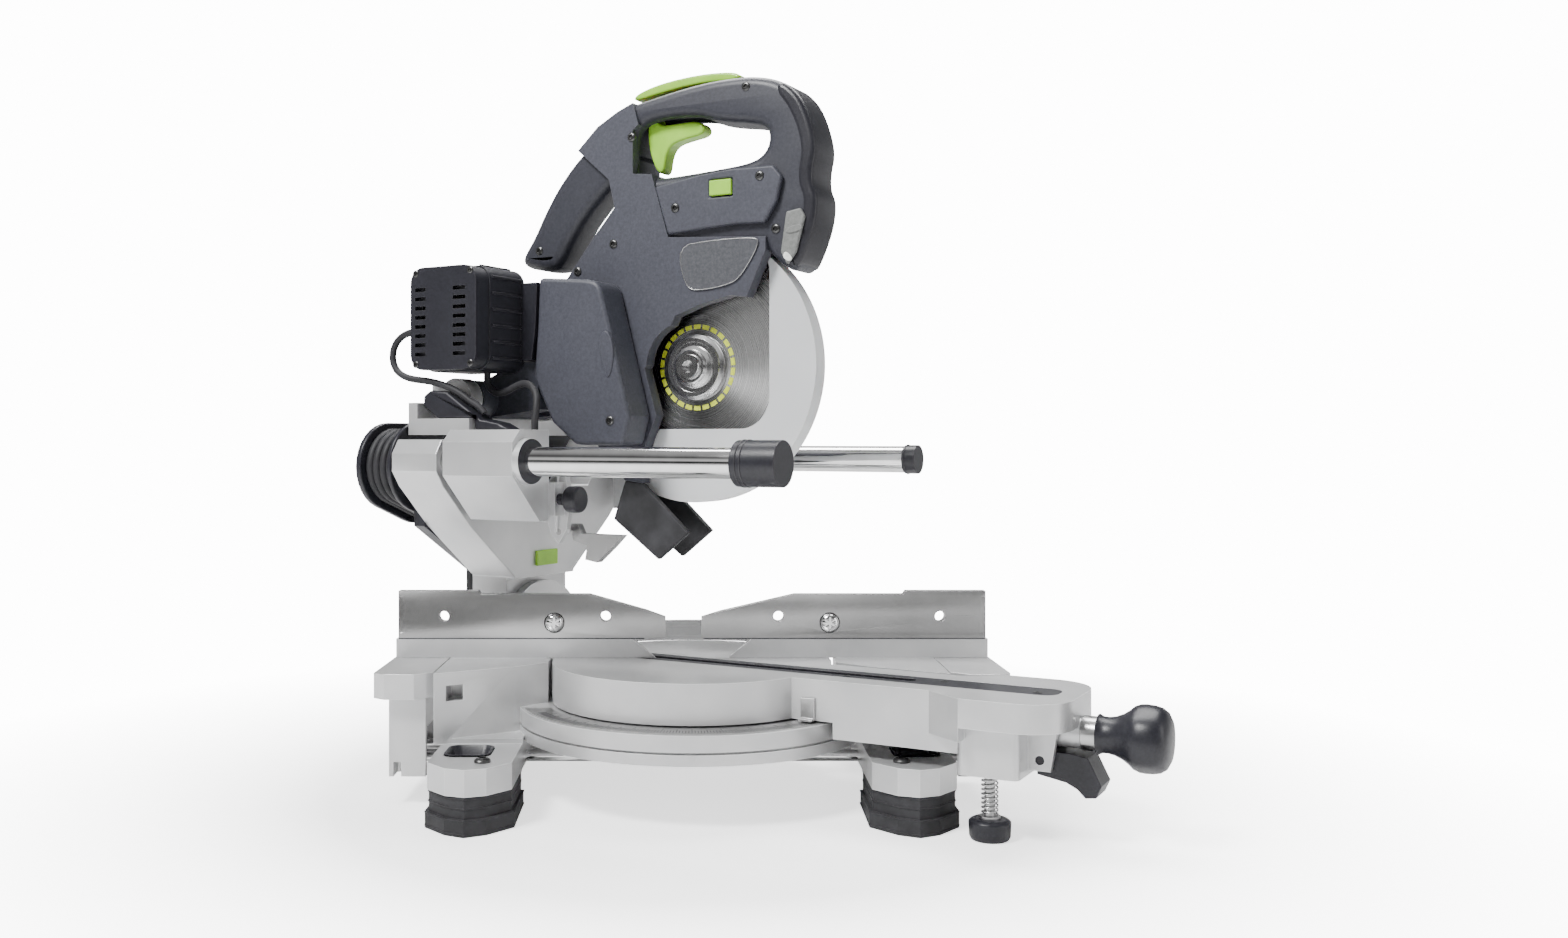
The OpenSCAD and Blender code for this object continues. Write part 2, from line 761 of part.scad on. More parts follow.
module belt_cover() {
    a = [shaft_t, shaft_z];
    b = [arbor_t, arbor_z];
    color(grey) swivel() difference() {
        side(plate_s[1] + e, 46) stadium(a, b, 30);
        side(plate_s[1] + 4, 43) stadium(a, b, 26);
        bar_s(20, 44, arbor_t, arbor_z, 15 + 2 * fit);
        bar_s(20, 44, shaft_t, shaft_z, 10 + 2 * fit);
    }
}

module window_outline() {
    polygon([[-46, 534], [-46, 572], [-34, 581], [17, 579], [30, 571], [78, 564],
             [84, 552], [72, 534], [-8, 530]]);
}

// Pocket that the trigger swings up into, and the slot of the release lever.
module control_room() {
    side(-10, 10) polygon([[-46, 560], [-44, 592], [-28, 592], [-20, 586],
                           [24, 586], [24, 570]]);
    side(-10, 10) polygon([[-58, 589], [-38, 592], [40, 604], [54, 604],
                           [54, 630], [-58, 630]]);
}

module main_handle() {
    color(black) swivel() difference() {
        side(-21, 21) difference() {
            polygon([[-45.9, 596.2], [12, 606], [58, 606], [88, 600], [106, 588], [118, 571],
                     [127, 546], [123, 516], [129, 504], [126, 482], [118, 458],
                     [109, 439], [84.1, 458], [84.1, 470.1], [-9.9, 476.1]]);
            window_outline();
        }
        control_room();
        for (p = [trigger_pin, unlock_pin]) bar_s(-17, 17, p[0], p[1], pin_d + 2 * fit);
        blade_space();
    }
}

module rear_grip() {
    color(black) swivel() side(-19, 19)
        polygon([[-71.1, 531], [-104.1, 560], [-143, 515], [-158, 489], [-172, 468],
                 [-168, 462], [-136, 456], [-128, 462], [-110, 488]]);
}

module switch_panel() {
    color(grey) swivel() difference() {
        side(-27, -21 - e) polygon([[-22, 520], [-9, 478], [58, 482], [84, 481],
            [95, 498], [100, 518], [92, 528], [56, 529], [18, 526]]);
        block([-28, -54.5, 506.5], [-20.5, -32.5, 520.5]);
    }
}

module name_plate() {
    color(steel) swivel() side(-25.4, plate_s[0] - e)
        polygon([[0, 466], [30, 469.5], [76, 469.5], [78, 464], [62, 440], [52, 432],
                 [20, 428], [8, 432]]);
}

module motor_outline(inset = 0) {
    round_rect(motor_t[0] + inset, motor_z[0] + inset, motor_t[1] - inset,
               motor_z[1] - inset, 14);
}

module motor_housing() {
    color(black) swivel() {
        difference() {
            union() {
                side(-104, -55) motor_outline();
                // neck that ties the motor to the shell
                side(-60.2, plate_s[0] - e) polygon([[-170, 372], [-128.5, 372],
                    [-124.5, 400], [-122.5, 440], [-170, 440]]);
                bar_s(-56, plate_s[1], shaft_t, shaft_z, 30);
            }
            bar_s(-105, -59, shaft_t, shaft_z, 68);
            bar_s(-105, 30, shaft_t, shaft_z, 10 + 2 * fit);
        }
    }
}

module motor_end_cap() {
    color(black) swivel() difference() {
        side(motor_s, -104 - e) motor_outline(1);
        bar_s(-118, -103, shaft_t, shaft_z, 56);
        for (i = [0:7]) translate([0, 0, 374 + 8 * i])
            for (t = [[-208, -196], [-166, -152]])
                block([motor_s - 1, -t[1], 0], [motor_s + 5, -t[0], 3.4]);
        translate([-112, 163, 445]) cylinder(r = 8.5, h = 12);
    }
}

module motor_rotor() {
    color(steel) swivel() {
        bar_s(-100, -62, shaft_t, shaft_z, 60);
        bar_s(-110, 40, shaft_t, shaft_z, 10);
    }
}

module speed_dial() {
    color(lime) swivel() translate([-112, 163, 445.4]) cylinder(r = 8, h = 6.4);
}

module work_lamp() {
    color(steel) swivel() side(-25, -21 - e)
        polygon([[103, 489], [116, 491], [120, 484], [112, 455], [104, 445], [98, 456]]);
}

module dust_chute() {
    color(black) swivel() difference() {
        side(-24, 22) polygon([[-54, 265.9], [-36, 263.9], [10, 222], [-20, 198], [-66, 232]]);
        side(-18, 16) polygon([[-50, 270], [-40, 270], [12, 222], [-20, 190], [-58, 236]]);
        blade_space();
    }
}

module deflector_hook() {
    color(steel) swivel() {
        side(-74, -66) polygon([[-78, 230], [-70, 230], [-66, 222], [-24, 222], [-34, 212],
                                [-50, 198], [-62, 200], [-60, 212], [-74, 216]]);
        bar_s(-90, -66, hook_t, hook_z, 6);
    }
}

module housing_screws() {
    color(steel) swivel() {
        for (p = [[-47, 566], [-66, 474], [-104, 452]])
            bar_s(plate_s[0] - 1.2, plate_s[0] - e, p[0], p[1], 8);
        for (p = [[-1, 500], [80, 520]]) bar_s(-28, -27 - e, p[0], p[1], 8);
        for (p = [[64, 597], [92, 476]]) bar_s(-22, -21 - e, p[0], p[1], 8);
        bar_s(-61.2, -60 - e, -46, 318, 9);
    }
}

// A tube swept along points by rings of n sides; no stretch of it may run along X.
function unit(v) = v / norm(v);
function tube_ring(p, dir, r, n) =
    let (u = unit(cross(dir, [1, 0, 0])), v = cross(dir, u))
    [for (i = [0:n - 1]) p + r * (cos(360 * i / n) * u + sin(360 * i / n) * v)];
module tube(pts, d, n = 10) {
    m = len(pts);
    dirs = [for (i = [0:m - 1]) unit(pts[min(i + 1, m - 1)] - pts[max(i - 1, 0)])];
    v = [for (i = [0:m - 1]) each tube_ring(pts[i], dirs[i], d / 2, n)];
    polyhedron(v, concat([[for (i = [n - 1:-1:0]) i]],
        [for (j = [0:m - 2], i = [0:n - 1])
            [j * n + i, j * n + (i + 1) % n, (j + 1) * n + (i + 1) % n, (j + 1) * n + i]],
        [[for (i = [0:n - 1]) (m - 1) * n + i]]));
}

module motor_cable() {
    color(black) swivel() for (route = [end_cap_route, motor_route]) tube(route, cable_d);
}

// ---- guard, blade and arbor -----------------------------------------------

module guard_sector(r) {
    intersection() {
        circle(r = r, $fn = 128);
        polygon(concat([[0, 0]], arc([0, 0], 2 * r, guard_a[0], guard_a[1], 12)));
    }
}

module lower_guard() {
    color([0.9, 0.9, 0.9]) swivel() {
        side(-9, -7.6) translate([arbor_t, arbor_z]) difference() {
            guard_sector(guard_r);
            translate([-arbor_t, -arbor_z]) round_rect(-90, 311, 80, 470, 28);
        }
        side(-7.6 - e, 7.6 + e) translate([arbor_t, arbor_z]) difference() {
            guard_sector(guard_r);
            circle(r = guard_r - 3, $fn = 128);
        }
        side(7.6, 9) translate([arbor_t, arbor_z]) difference() {
            union() {
                guard_sector(guard_r);
                circle(r = 28);
            }
            circle(r = 12);
        }
    }
}

// Blade outline: gullets cut between raked teeth.
module saw_blade() {
    teeth = 48;
    r = blade_d / 2;
    color(steel) swivel() side(-blade_t / 2, blade_t / 2) translate([arbor_t, arbor_z])
        difference() {
            polygon([for (i = [0:teeth - 1]) let (a = -360 * i / teeth, p = 360 / teeth)
                each [r * [cos(a), sin(a)], (r - 3) * [cos(a - p * 0.35), sin(a - p * 0.35)],
                      (r - 8) * [cos(a - p * 0.75), sin(a - p * 0.75)],
                      (r - 6) * [cos(a - p * 0.96), sin(a - p * 0.96)]]]);
            circle(d = 15);
        }
}

module arbor() {
    b = blade_t / 2;
    color(steel) swivel() difference() {
        union() {
            bar_s(-6.6, -b - e, arbor_t, arbor_z, 56);
            bar_s(-13, -6.6 + e, arbor_t, arbor_z, 34);
            bar_s(-18, -13 + e, arbor_t, arbor_z, 22);
            bar_s(b + e, 6.6, arbor_t, arbor_z, 56);
            bar_s(-10, 40, arbor_t, arbor_z, 15);
        }
        side(-19, -12) translate([arbor_t, arbor_z]) circle(d = 9, $fn = 6);
    }
}

// ---- controls -------------------------------------------------------------

module trigger() {
    color(lime) swivel() {
        side(-8, 8) polygon([[-41, 560], [-40, 588], [-32, 588], [-30, 575], [8, 577],
            [17, 571], [16, 565], [-16, 559], [-22, 549], [-24, 535], [-32, 536]]);
        bar_s(-16, 16, trigger_pin[0], trigger_pin[1], pin_d);
    }
}

module unlock_lever() {
    color(lime) swivel() {
        side(-9, 9) polygon([[-54, 600], [-54, 607], [-28, 614], [12, 617], [44, 615],
                             [52, 611], [48, 606.5], [12, 609], [-28, 605]]);
        bar_s(-16, 16, unlock_pin[0], unlock_pin[1], pin_d);
    }
}

module spindle_button() {
    color(lime) swivel() block([-29, -54, 507], [-24.5, -33, 520]);
}

// ---- what is drawn --------------------------------------------------------

base_casting();
mitre_scale();
rubber_feet();
lower_fence();
left_extension_table();
right_extension_table();
left_extension_rods();
right_extension_rods();
left_upper_fence();
right_upper_fence();
left_fence_screw();
right_fence_screw();
turntable();
kerf_insert();
trunnion();
mitre_pointer();
knob_neck();
mitre_knob();
detent_lever();
support_screw();
support_pad();
support_spring();
bevel_column();
column_cover();
cord_winder();
angle_window();
guide_rails();
rail_caps();
mains_winding();
mains_plug();
bevel_clamp();
carriage();
linear_bearings();
rail_seals();
stop_bracket();
pivot_shaft();
carriage_cover();
slide_lock();
head_housing();
gear_cover();
belt_cover();
main_handle();
rear_grip();
switch_panel();
name_plate();
motor_housing();
motor_end_cap();
motor_rotor();
work_lamp();
dust_chute();
deflector_hook();
housing_screws();
motor_cable();
lower_guard();
saw_blade();
arbor();
trigger();
unlock_lever();
spindle_button();
speed_dial();
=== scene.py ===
"""Looks of the sliding mitre saw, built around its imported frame.

Places on the swivelling assembly are written as (t, s, z) in millimetres: t is the
distance forward along the arm, s the distance to the operator's right, z the height.
"""
import json
import math

import bmesh
import bpy
from mathutils import Matrix, Vector

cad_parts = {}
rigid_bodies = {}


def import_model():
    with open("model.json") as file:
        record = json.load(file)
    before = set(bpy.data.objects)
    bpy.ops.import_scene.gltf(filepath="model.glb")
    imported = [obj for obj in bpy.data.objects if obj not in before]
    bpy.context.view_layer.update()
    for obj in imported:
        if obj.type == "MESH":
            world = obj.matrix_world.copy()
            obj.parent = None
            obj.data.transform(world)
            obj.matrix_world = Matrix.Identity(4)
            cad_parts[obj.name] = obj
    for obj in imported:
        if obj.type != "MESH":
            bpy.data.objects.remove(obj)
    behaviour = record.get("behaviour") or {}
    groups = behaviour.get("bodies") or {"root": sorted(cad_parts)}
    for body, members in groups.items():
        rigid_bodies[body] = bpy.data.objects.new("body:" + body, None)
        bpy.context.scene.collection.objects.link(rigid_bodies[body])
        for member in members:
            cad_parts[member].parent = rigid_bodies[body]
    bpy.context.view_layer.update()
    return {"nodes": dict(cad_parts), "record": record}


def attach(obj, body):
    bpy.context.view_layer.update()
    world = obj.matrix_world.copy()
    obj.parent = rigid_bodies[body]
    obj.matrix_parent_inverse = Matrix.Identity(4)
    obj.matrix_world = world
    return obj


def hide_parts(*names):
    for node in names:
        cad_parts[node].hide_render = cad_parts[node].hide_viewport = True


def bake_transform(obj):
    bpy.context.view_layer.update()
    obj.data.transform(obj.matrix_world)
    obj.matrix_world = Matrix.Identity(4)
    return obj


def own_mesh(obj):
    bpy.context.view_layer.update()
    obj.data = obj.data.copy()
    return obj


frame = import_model()
NODES = frame["nodes"]

# ---- the saw's own directions and driving sizes ----------------------------------

MM = 0.001
MITRE = math.radians(60)
FORWARD = Vector((math.sin(MITRE), -math.cos(MITRE), 0))
SIDE = Vector((math.cos(MITRE), math.sin(MITRE), 0))
UP = Vector((0, 0, 1))
IMAGE_W, IMAGE_H = 1568, 938
HUB_T, HUB_Z = 6, 364.5        # the blade's centre
RAIL_S, RAIL_Z = 136, 284      # the guide rails' axes, either side of the arm
DIAL_T, DIAL_S = -163, -112    # the speed dial's axis
KNOB_T, KNOB_Z = 338, 82       # the mitre knob's seat


def at(t, s, z):
    """The point (t, s, z) in the frame's metres."""
    return (FORWARD * t + SIDE * s + UP * z) * MM


def plane(t, s, z):
    """Places local x along the arm, y up and z towards the operator's left."""
    m = Matrix((FORWARD, UP, -SIDE)).transposed().to_4x4()
    m.translation = at(t, s, z)
    return m


# ---- camera ------------------------------------------------------------------------

def make_camera():
    """A level camera in front of the saw, at the height of its guide rails."""
    focal_px, centre_px = 1400, (692, 440)
    data = bpy.data.cameras.new("camera")
    data.sensor_width = 36
    data.lens = focal_px / IMAGE_W * data.sensor_width
    data.shift_x = (IMAGE_W / 2 - centre_px[0]) / IMAGE_W
    data.shift_y = -(IMAGE_H / 2 - centre_px[1]) / IMAGE_W
    camera = bpy.data.objects.new("camera", data)
    camera.location = (0, -1.220, 0.3015)
    camera.rotation_euler = (math.pi / 2, 0, 0)
    bpy.context.scene.collection.objects.link(camera)
    bpy.context.scene.camera = camera


make_camera()

# ---- node helpers --------------------------------------------------------------------

def material(name, color, roughness, metallic=0.0, **sockets):
    """A Principled material; sockets are extra inputs, with _ for spaces."""
    mat = bpy.data.materials.new(name)
    mat.use_nodes = True
    shader = mat.node_tree.nodes["Principled BSDF"]
    shader.inputs["Base Color"].default_value = (*color, 1)
    shader.inputs["Roughness"].default_value = roughness
    shader.inputs["Metallic"].default_value = metallic
    for key, value in sockets.items():
        shader.inputs[key.replace("_", " ")].default_value = value
    return mat, mat.node_tree, shader


def add(tree, kind, **settings):
    """A new node; settings are its attributes or, failing that, its inputs."""
    node = tree.nodes.new(kind)
    for key, value in settings.items():
        if hasattr(node, key):
            setattr(node, key, value)
        else:
            node.inputs[key.replace("_", " ")].default_value = value
    return node


def coordinates(tree, scale=(1, 1, 1)):
    """Object coordinates, stretched."""
    source = add(tree, "ShaderNodeTexCoord")
    mapping = add(tree, "ShaderNodeMapping")
    mapping.inputs["Scale"].default_value = scale
    tree.links.new(source.outputs["Object"], mapping.inputs["Vector"])
    return mapping.outputs["Vector"]


def noise(tree, vector, scale, detail=3.0, roughness=0.5):
    node = add(tree, "ShaderNodeTexNoise", Scale=scale, Detail=detail)
    node.inputs["Roughness"].default_value = roughness
    tree.links.new(vector, node.inputs["Vector"])
    return node.outputs["Fac"]


def ramp(tree, fac, stops):
    """A colour ramp; stops are (position, grey value or colour)."""
    node = add(tree, "ShaderNodeValToRGB")
    elements = node.color_ramp.elements
    while len(elements) < len(stops):
        elements.new(0.5)
    for element, (position, value) in zip(elements, stops):
        element.position = position
        element.color = (*value, 1) if hasattr(value, "__len__") else (value, value, value, 1)
    tree.links.new(fac, node.inputs["Fac"])
    return node.outputs["Color"]


def bump(tree, shader, height, strength, distance):
    """Adds a bump of height metres on top of any bump that is there already."""
    node = add(tree, "ShaderNodeBump", Strength=strength, Distance=distance)
    tree.links.new(height, node.inputs["Height"])
    before = shader.inputs["Normal"].links
    if before:
        tree.links.new(before[0].from_socket, node.inputs["Normal"])
    tree.links.new(node.outputs["Normal"], shader.inputs["Normal"])


def edge_highlight_mask(tree, radius=0.0008):
    """1 along sharp edges and 0 on flats, from the bevelled normal; it masks the painted edge
    highlight.
    """
    bevelled = add(tree, "ShaderNodeBevel", samples=4, Radius=radius)
    geometry = add(tree, "ShaderNodeNewGeometry")
    dot = add(tree, "ShaderNodeVectorMath", operation="DOT_PRODUCT")
    tree.links.new(bevelled.outputs["Normal"], dot.inputs[0])
    tree.links.new(geometry.outputs["Normal"], dot.inputs[1])
    return ramp(tree, dot.outputs["Value"], [(0.90, 1), (0.985, 0)])


def paint_edge_highlight(tree, shader, base, edge_highlight):
    """Lightens a base colour along sharp edges, a painted highlight."""
    mix = add(tree, "ShaderNodeMix", data_type="RGBA", blend_type="ADD")
    mix.inputs[0].default_value = edge_highlight
    tree.links.new(base, mix.inputs["A"])
    tree.links.new(edge_highlight_mask(tree), mix.inputs["B"])
    tree.links.new(mix.outputs["Result"], shader.inputs["Base Color"])


def tint(tree, shader, fac, stops):
    tree.links.new(ramp(tree, fac, stops), shader.inputs["Base Color"])


def gloss(tree, shader, fac, low, high):
    """Roughness that varies from low to high with fac."""
    node = add(tree, "ShaderNodeMapRange")
    node.inputs["To Min"].default_value = low
    node.inputs["To Max"].default_value = high
    tree.links.new(fac, node.inputs["Value"])
    tree.links.new(node.outputs["Result"], shader.inputs["Roughness"])


# ---- materials -------------------------------------------------------------------------

def cast_paint(name="cast_paint", light=0.64):
    """Satin silver paint over a fine-grained casting."""
    mat, tree, shader = material(name, (light, light, light), 0.34, 0.6, Coat_Weight=0.2,
                                 Coat_Roughness=0.22)
    where = coordinates(tree)
    base = ramp(tree, noise(tree, where, 18, 4),
                [(0.3, (light * 0.86, light * 0.868, light * 0.88)),
                 (0.7, (light, light, light))])
    # painted highlight: the casting's edges are lightened in its colour
    paint_edge_highlight(tree, shader, base, 0.42)
    gloss(tree, shader, noise(tree, where, 55, 5), 0.28, 0.44)
    bump(tree, shader, noise(tree, where, 900, 4, 0.65), 0.2, 0.00025)
    bump(tree, shader, noise(tree, where, 9, 1), 0.35, 0.006)
    return mat


def machined(name, along, light=0.62, low=0.2, high=0.42, wave=0.1):
    """Bare metal with fine tool lines along one axis of the frame, and faint waves."""
    mat, tree, shader = material(name, (light, light, light), 0.3, 1.0, Anisotropic=0.45)
    stretch = [900, 900, 900]
    stretch[along] = 9
    lines = noise(tree, coordinates(tree, stretch), 1.0, 3, 0.7)
    smudge = noise(tree, coordinates(tree), 22, 4)
    tint(tree, shader, smudge, [(0.3, light * 0.9), (0.75, light * 1.06)])
    gloss(tree, shader, lines, low, high)
    bump(tree, shader, lines, 0.12, 0.00012)
    stretch = [16, 16, 16]
    stretch[along] = 3
    bump(tree, shader, noise(tree, coordinates(tree, stretch), 1.0, 1), wave, 0.02)
    return mat


def moulded(name, color, low=0.38, high=0.58, grain=1500, depth=0.00022, edge_highlight=0.035):
    """Fine-grained moulded plastic, a little paler along its edges, a painted highlight."""
    mat, tree, shader = material(name, color, low, 0.0, Specular_IOR_Level=0.42)
    where = coordinates(tree)
    fine = noise(tree, where, grain, 2, 0.6)
    speckle = noise(tree, where, 420, 4, 0.7)
    base = ramp(tree, speckle, [(0.35, tuple(0.84 * c for c in color)),
                                (0.68, tuple(min(1, 1.22 * c) for c in color))])
    # painted highlight: the edges are made a little paler in the colour
    paint_edge_highlight(tree, shader, base, edge_highlight)
    gloss(tree, shader, noise(tree, where, 30, 4), low, high)
    bump(tree, shader, fine, 0.35, depth)
    return mat


def rubber(name="rubber", color=(0.018, 0.018, 0.02)):
    """Matt black rubber with a little dust in its grain."""
    mat, tree, shader = material(name, color, 0.62, 0.0, Specular_IOR_Level=0.35)
    where = coordinates(tree)
    dust = noise(tree, where, 35, 5, 0.6)
    tint(tree, shader, dust, [(0.4, color), (0.8, tuple(2.4 * c for c in color))])
    gloss(tree, shader, dust, 0.5, 0.75)
    bump(tree, shader, noise(tree, where, 1800, 2), 0.3, 0.0002)
    return mat


def lime_plastic(name="lime_plastic"):
    """Satin lime-green moulding."""
    mat, tree, shader = material(name, (0.27, 0.56, 0.035), 0.34, 0.0, Coat_Weight=0.15,
                                 Subsurface_Weight=0.04)
    where = coordinates(tree)
    tint(tree, shader, noise(tree, where, 40, 3),
         [(0.3, (0.24, 0.52, 0.03)), (0.7, (0.33, 0.64, 0.05))])
    gloss(tree, shader, noise(tree, where, 120, 3), 0.28, 0.42)
    bump(tree, shader, noise(tree, where, 1600, 2), 0.2, 0.00015)
    return mat


def chrome(name="chrome"):
    """Hard-chromed rail with faint lengthwise polish lines."""
    mat, tree, shader = material(name, (0.78, 0.78, 0.79), 0.09, 1.0)
    lines = noise(tree, coordinates(tree, (3, 3, 1400)), 1.0, 2, 0.6)
    smudge = noise(tree, coordinates(tree), 45, 4)
    tint(tree, shader, smudge, [(0.3, 0.70), (0.7, 0.82)])
    gloss(tree, shader, smudge, 0.06, 0.15)
    bump(tree, shader, lines, 0.05, 0.00005)
    return mat


def guard_plastic(name="guard_white"):
    """Smooth milky plastic."""
    mat, tree, shader = material(name, (0.62, 0.62, 0.625), 0.3, 0.0, Coat_Weight=0.3,
                                 Subsurface_Weight=0.05)
    where = coordinates(tree)
    tint(tree, shader, noise(tree, where, 9, 2),
         [(0.3, (0.56, 0.56, 0.57)), (0.7, (0.64, 0.64, 0.645))])
    gloss(tree, shader, noise(tree, where, 60, 3), 0.26, 0.36)
    bump(tree, shader, noise(tree, where, 14, 1), 0.1, 0.002)
    return mat


def saw_steel(name="saw_steel"):
    """Polished blade, ground in rings about its own axis, local Z."""
    mat, tree, shader = material(name, (0.5, 0.5, 0.5), 0.26, 1.0, Anisotropic=0.85)
    tangent = add(tree, "ShaderNodeTangent", direction_type="RADIAL", axis="Z")
    tree.links.new(tangent.outputs[0], shader.inputs["Tangent"])
    flat = coordinates(tree, (1, 1, 0))
    radius = add(tree, "ShaderNodeVectorMath", operation="LENGTH")
    tree.links.new(flat, radius.inputs[0])
    rings = add(tree, "ShaderNodeTexNoise", noise_dimensions="1D", Scale=1600, Detail=3.0)
    tree.links.new(radius.outputs["Value"], rings.inputs["W"])
    tint(tree, shader, rings.outputs["Fac"], [(0.3, 0.34), (0.7, 0.56)])
    gloss(tree, shader, rings.outputs["Fac"], 0.2, 0.36)
    bump(tree, shader, rings.outputs["Fac"], 0.1, 0.0001)
    return mat


CAST = cast_paint()
FENCE = machined("fence_alu", 0, 0.46, 0.22, 0.4, 0.5)
PLAIN_STEEL = machined("plain_steel", 2, 0.5)
CHROME = chrome()
BLADE = saw_steel()
SHELL = moulded("shell_plastic", (0.046, 0.048, 0.062))
DARK = moulded("dark_plastic", (0.014, 0.014, 0.019), 0.28, 0.45, 1100)
RUBBER = rubber()
LIME = lime_plastic()
GUARD = guard_plastic()
LAMP = moulded("lamp_grey", (0.16, 0.165, 0.16), 0.35, 0.5)
PLATE = moulded("plate_print", (0.075, 0.077, 0.085), 0.2, 0.32, 600, 0.00005, 0.0)
HANDLE = moulded("handle_plastic", (0.028, 0.029, 0.038), 0.34, 0.5)
LEAD = rubber("lead_rubber", (0.014, 0.014, 0.016))
INK = moulded("scale_ink", (0.03, 0.03, 0.035), 0.5, 0.6)
BOLT = machined("blackened_steel", 0, 0.10, 0.25, 0.4)
BRIGHT = machined("bright_steel", 2, 0.66, 0.14, 0.3)
RING = moulded("ring_print", (0.55, 0.62, 0.05), 0.3, 0.4)
RIM = machined("plate_rim", 0, 0.5, 0.25, 0.4)
LENS = moulded("lamp_lens", (0.75, 0.77, 0.72), 0.1, 0.18, 300, 0.00005, 0.0)

BY_SLOT = {
    "cast_silver": CAST, "fence_alu": FENCE, "black_plastic": DARK, "grey_plastic": SHELL,
    "rubber": RUBBER, "lime": LIME, "steel": PLAIN_STEEL, "chrome": CHROME,
    "blade_steel": BLADE, "guard_white": GUARD, "plate": PLATE,
    "cord_rubber": RUBBER, "lamp_grey": LAMP,
}
SLOT_OF = {part["node"]: part["material_slot"] for part in frame["record"]["subparts"]}
BODY_OF = {node: body for body, nodes in frame["record"]["behaviour"]["bodies"].items()
           for node in nodes}


def paint(obj, mat):
    """Leaves one material on an object."""
    obj.data.materials.clear()
    obj.data.materials.append(mat)


for node_name, node_object in NODES.items():
    paint(node_object, BY_SLOT[SLOT_OF[node_name]])

# ---- pieces ------------------------------------------------------------------------------

def place(piece, mat, body, slot, *replaced):
    """Gives a new piece its material and body and hides the CAD nodes it stands for; slot is
    not used.
    """
    if piece.name not in bpy.context.scene.collection.objects:
        bpy.context.scene.collection.objects.link(piece)
    paint(piece, mat)
    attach(piece, body)
    if replaced:
        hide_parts(*replaced)
    return piece


def shade(mesh, angle=35):
    """Smooth shading with edges kept sharp beyond an angle."""
    for face in mesh.polygons:
        face.use_smooth = True
    mesh.set_sharp_from_angle(angle=math.radians(angle))


def mesh_piece(name, verts, faces, angle=35):
    mesh = bpy.data.meshes.new(name)
    mesh.from_pydata([tuple(v) for v in verts], [], faces)
    mesh.update()
    shade(mesh, angle)
    return bpy.data.objects.new(name, mesh)


ROUNDING_SEGMENTS = 3
ROUNDED_FROM_DEG = 32


def soften(node, width):
    """A copy of a CAD piece with its edges rounded, in the CAD piece's place."""
    mesh = NODES[node].data.copy()
    piece = bpy.data.objects.new(node + "_finished", mesh)
    work = bmesh.new()
    work.from_mesh(mesh)
    bmesh.ops.remove_doubles(work, verts=work.verts, dist=0.00002)
    bmesh.ops.dissolve_limit(work, angle_limit=math.radians(1.5), verts=work.verts,
                             edges=work.edges)
    work.to_mesh(mesh)
    work.free()
    shade(mesh)
    rounding = piece.modifiers.new("rounding", "BEVEL")
    rounding.width = width * MM
    rounding.segments = ROUNDING_SEGMENTS
    rounding.limit_method = "ANGLE"
    rounding.angle_limit = math.radians(ROUNDED_FROM_DEG)
    rounding.harden_normals = True
    rounding.use_clamp_overlap = True
    return place(piece, BY_SLOT[SLOT_OF[node]], BODY_OF[node], SLOT_OF[node], node)


def smooth(outline, passes=3, share=0.25):
    """The outline with its corners cut again and again, which rounds them."""
    points = [Vector(p) for p in outline]
    for _ in range(passes):
        cut = []
        for here, after in zip(points, points[1:] + points[:1]):
            cut += [here.lerp(after, share), here.lerp(after, 1 - share)]
        points = cut
    return points


def slab(name, outline, s0, s1, edge, holes=(), rings=5):
    """A plate across the arm from s0 to s1, from outlines in (t, z), with round edges."""
    curve = bpy.data.curves.new(name, "CURVE")
    curve.dimensions = "2D"
    curve.fill_mode = "BOTH"
    curve.extrude = (s1 - s0) / 2 - edge
    curve.bevel_depth = edge
    curve.bevel_resolution = rings
    curve.offset = -edge
    for loop in (outline, *holes):
        spline = curve.splines.new("POLY")
        spline.points.add(len(loop) - 1)
        for point, (t, z) in zip(spline.points, loop):
            point.co = (t, z, 0, 1)
        spline.use_cyclic_u = True
    holder = bpy.data.objects.new(name, curve)
    mesh = bpy.data.meshes.new_from_object(holder)
    bpy.data.objects.remove(holder)
    bpy.data.curves.remove(curve)
    mesh.transform(plane(0, (s0 + s1) / 2, 0) @ Matrix.Scale(MM, 4))
    mesh.name = name
    shade(mesh)
    return bpy.data.objects.new(name, mesh)


def lathe(name, profile, middle, axis, steps=48):
    """A solid of revolution; the profile is (radius, distance along the axis)."""
    middle, axis = Vector(middle), Vector(axis).normalized()
    across = axis.orthogonal().normalized()
    other = axis.cross(across)
    verts, faces = [], []
    for radius, along in profile:
        for i in range(steps):
            a = math.tau * i / steps
            out = (across * math.cos(a) + other * math.sin(a)) * max(radius, 0.01)
            verts.append(middle + (axis * along + out) * MM)
    for j in range(len(profile) - 1):
        for i in range(steps):
            k = (i + 1) % steps
            faces.append((j * steps + i, j * steps + k,
                          (j + 1) * steps + k, (j + 1) * steps + i))
    last = (len(profile) - 1) * steps
    faces.append(tuple(range(steps))[::-1])
    faces.append(tuple(range(last, last + steps)))
    return mesh_piece(name, verts, faces)


def joined(name, parts):
    """Several loose objects as one piece."""
    work = bmesh.new()
    for part in parts:
        work.from_mesh(part.data)
    mesh = bpy.data.meshes.new(name)
    work.to_mesh(mesh)
    work.free()
    shade(mesh)
    return bpy.data.objects.new(name, mesh)


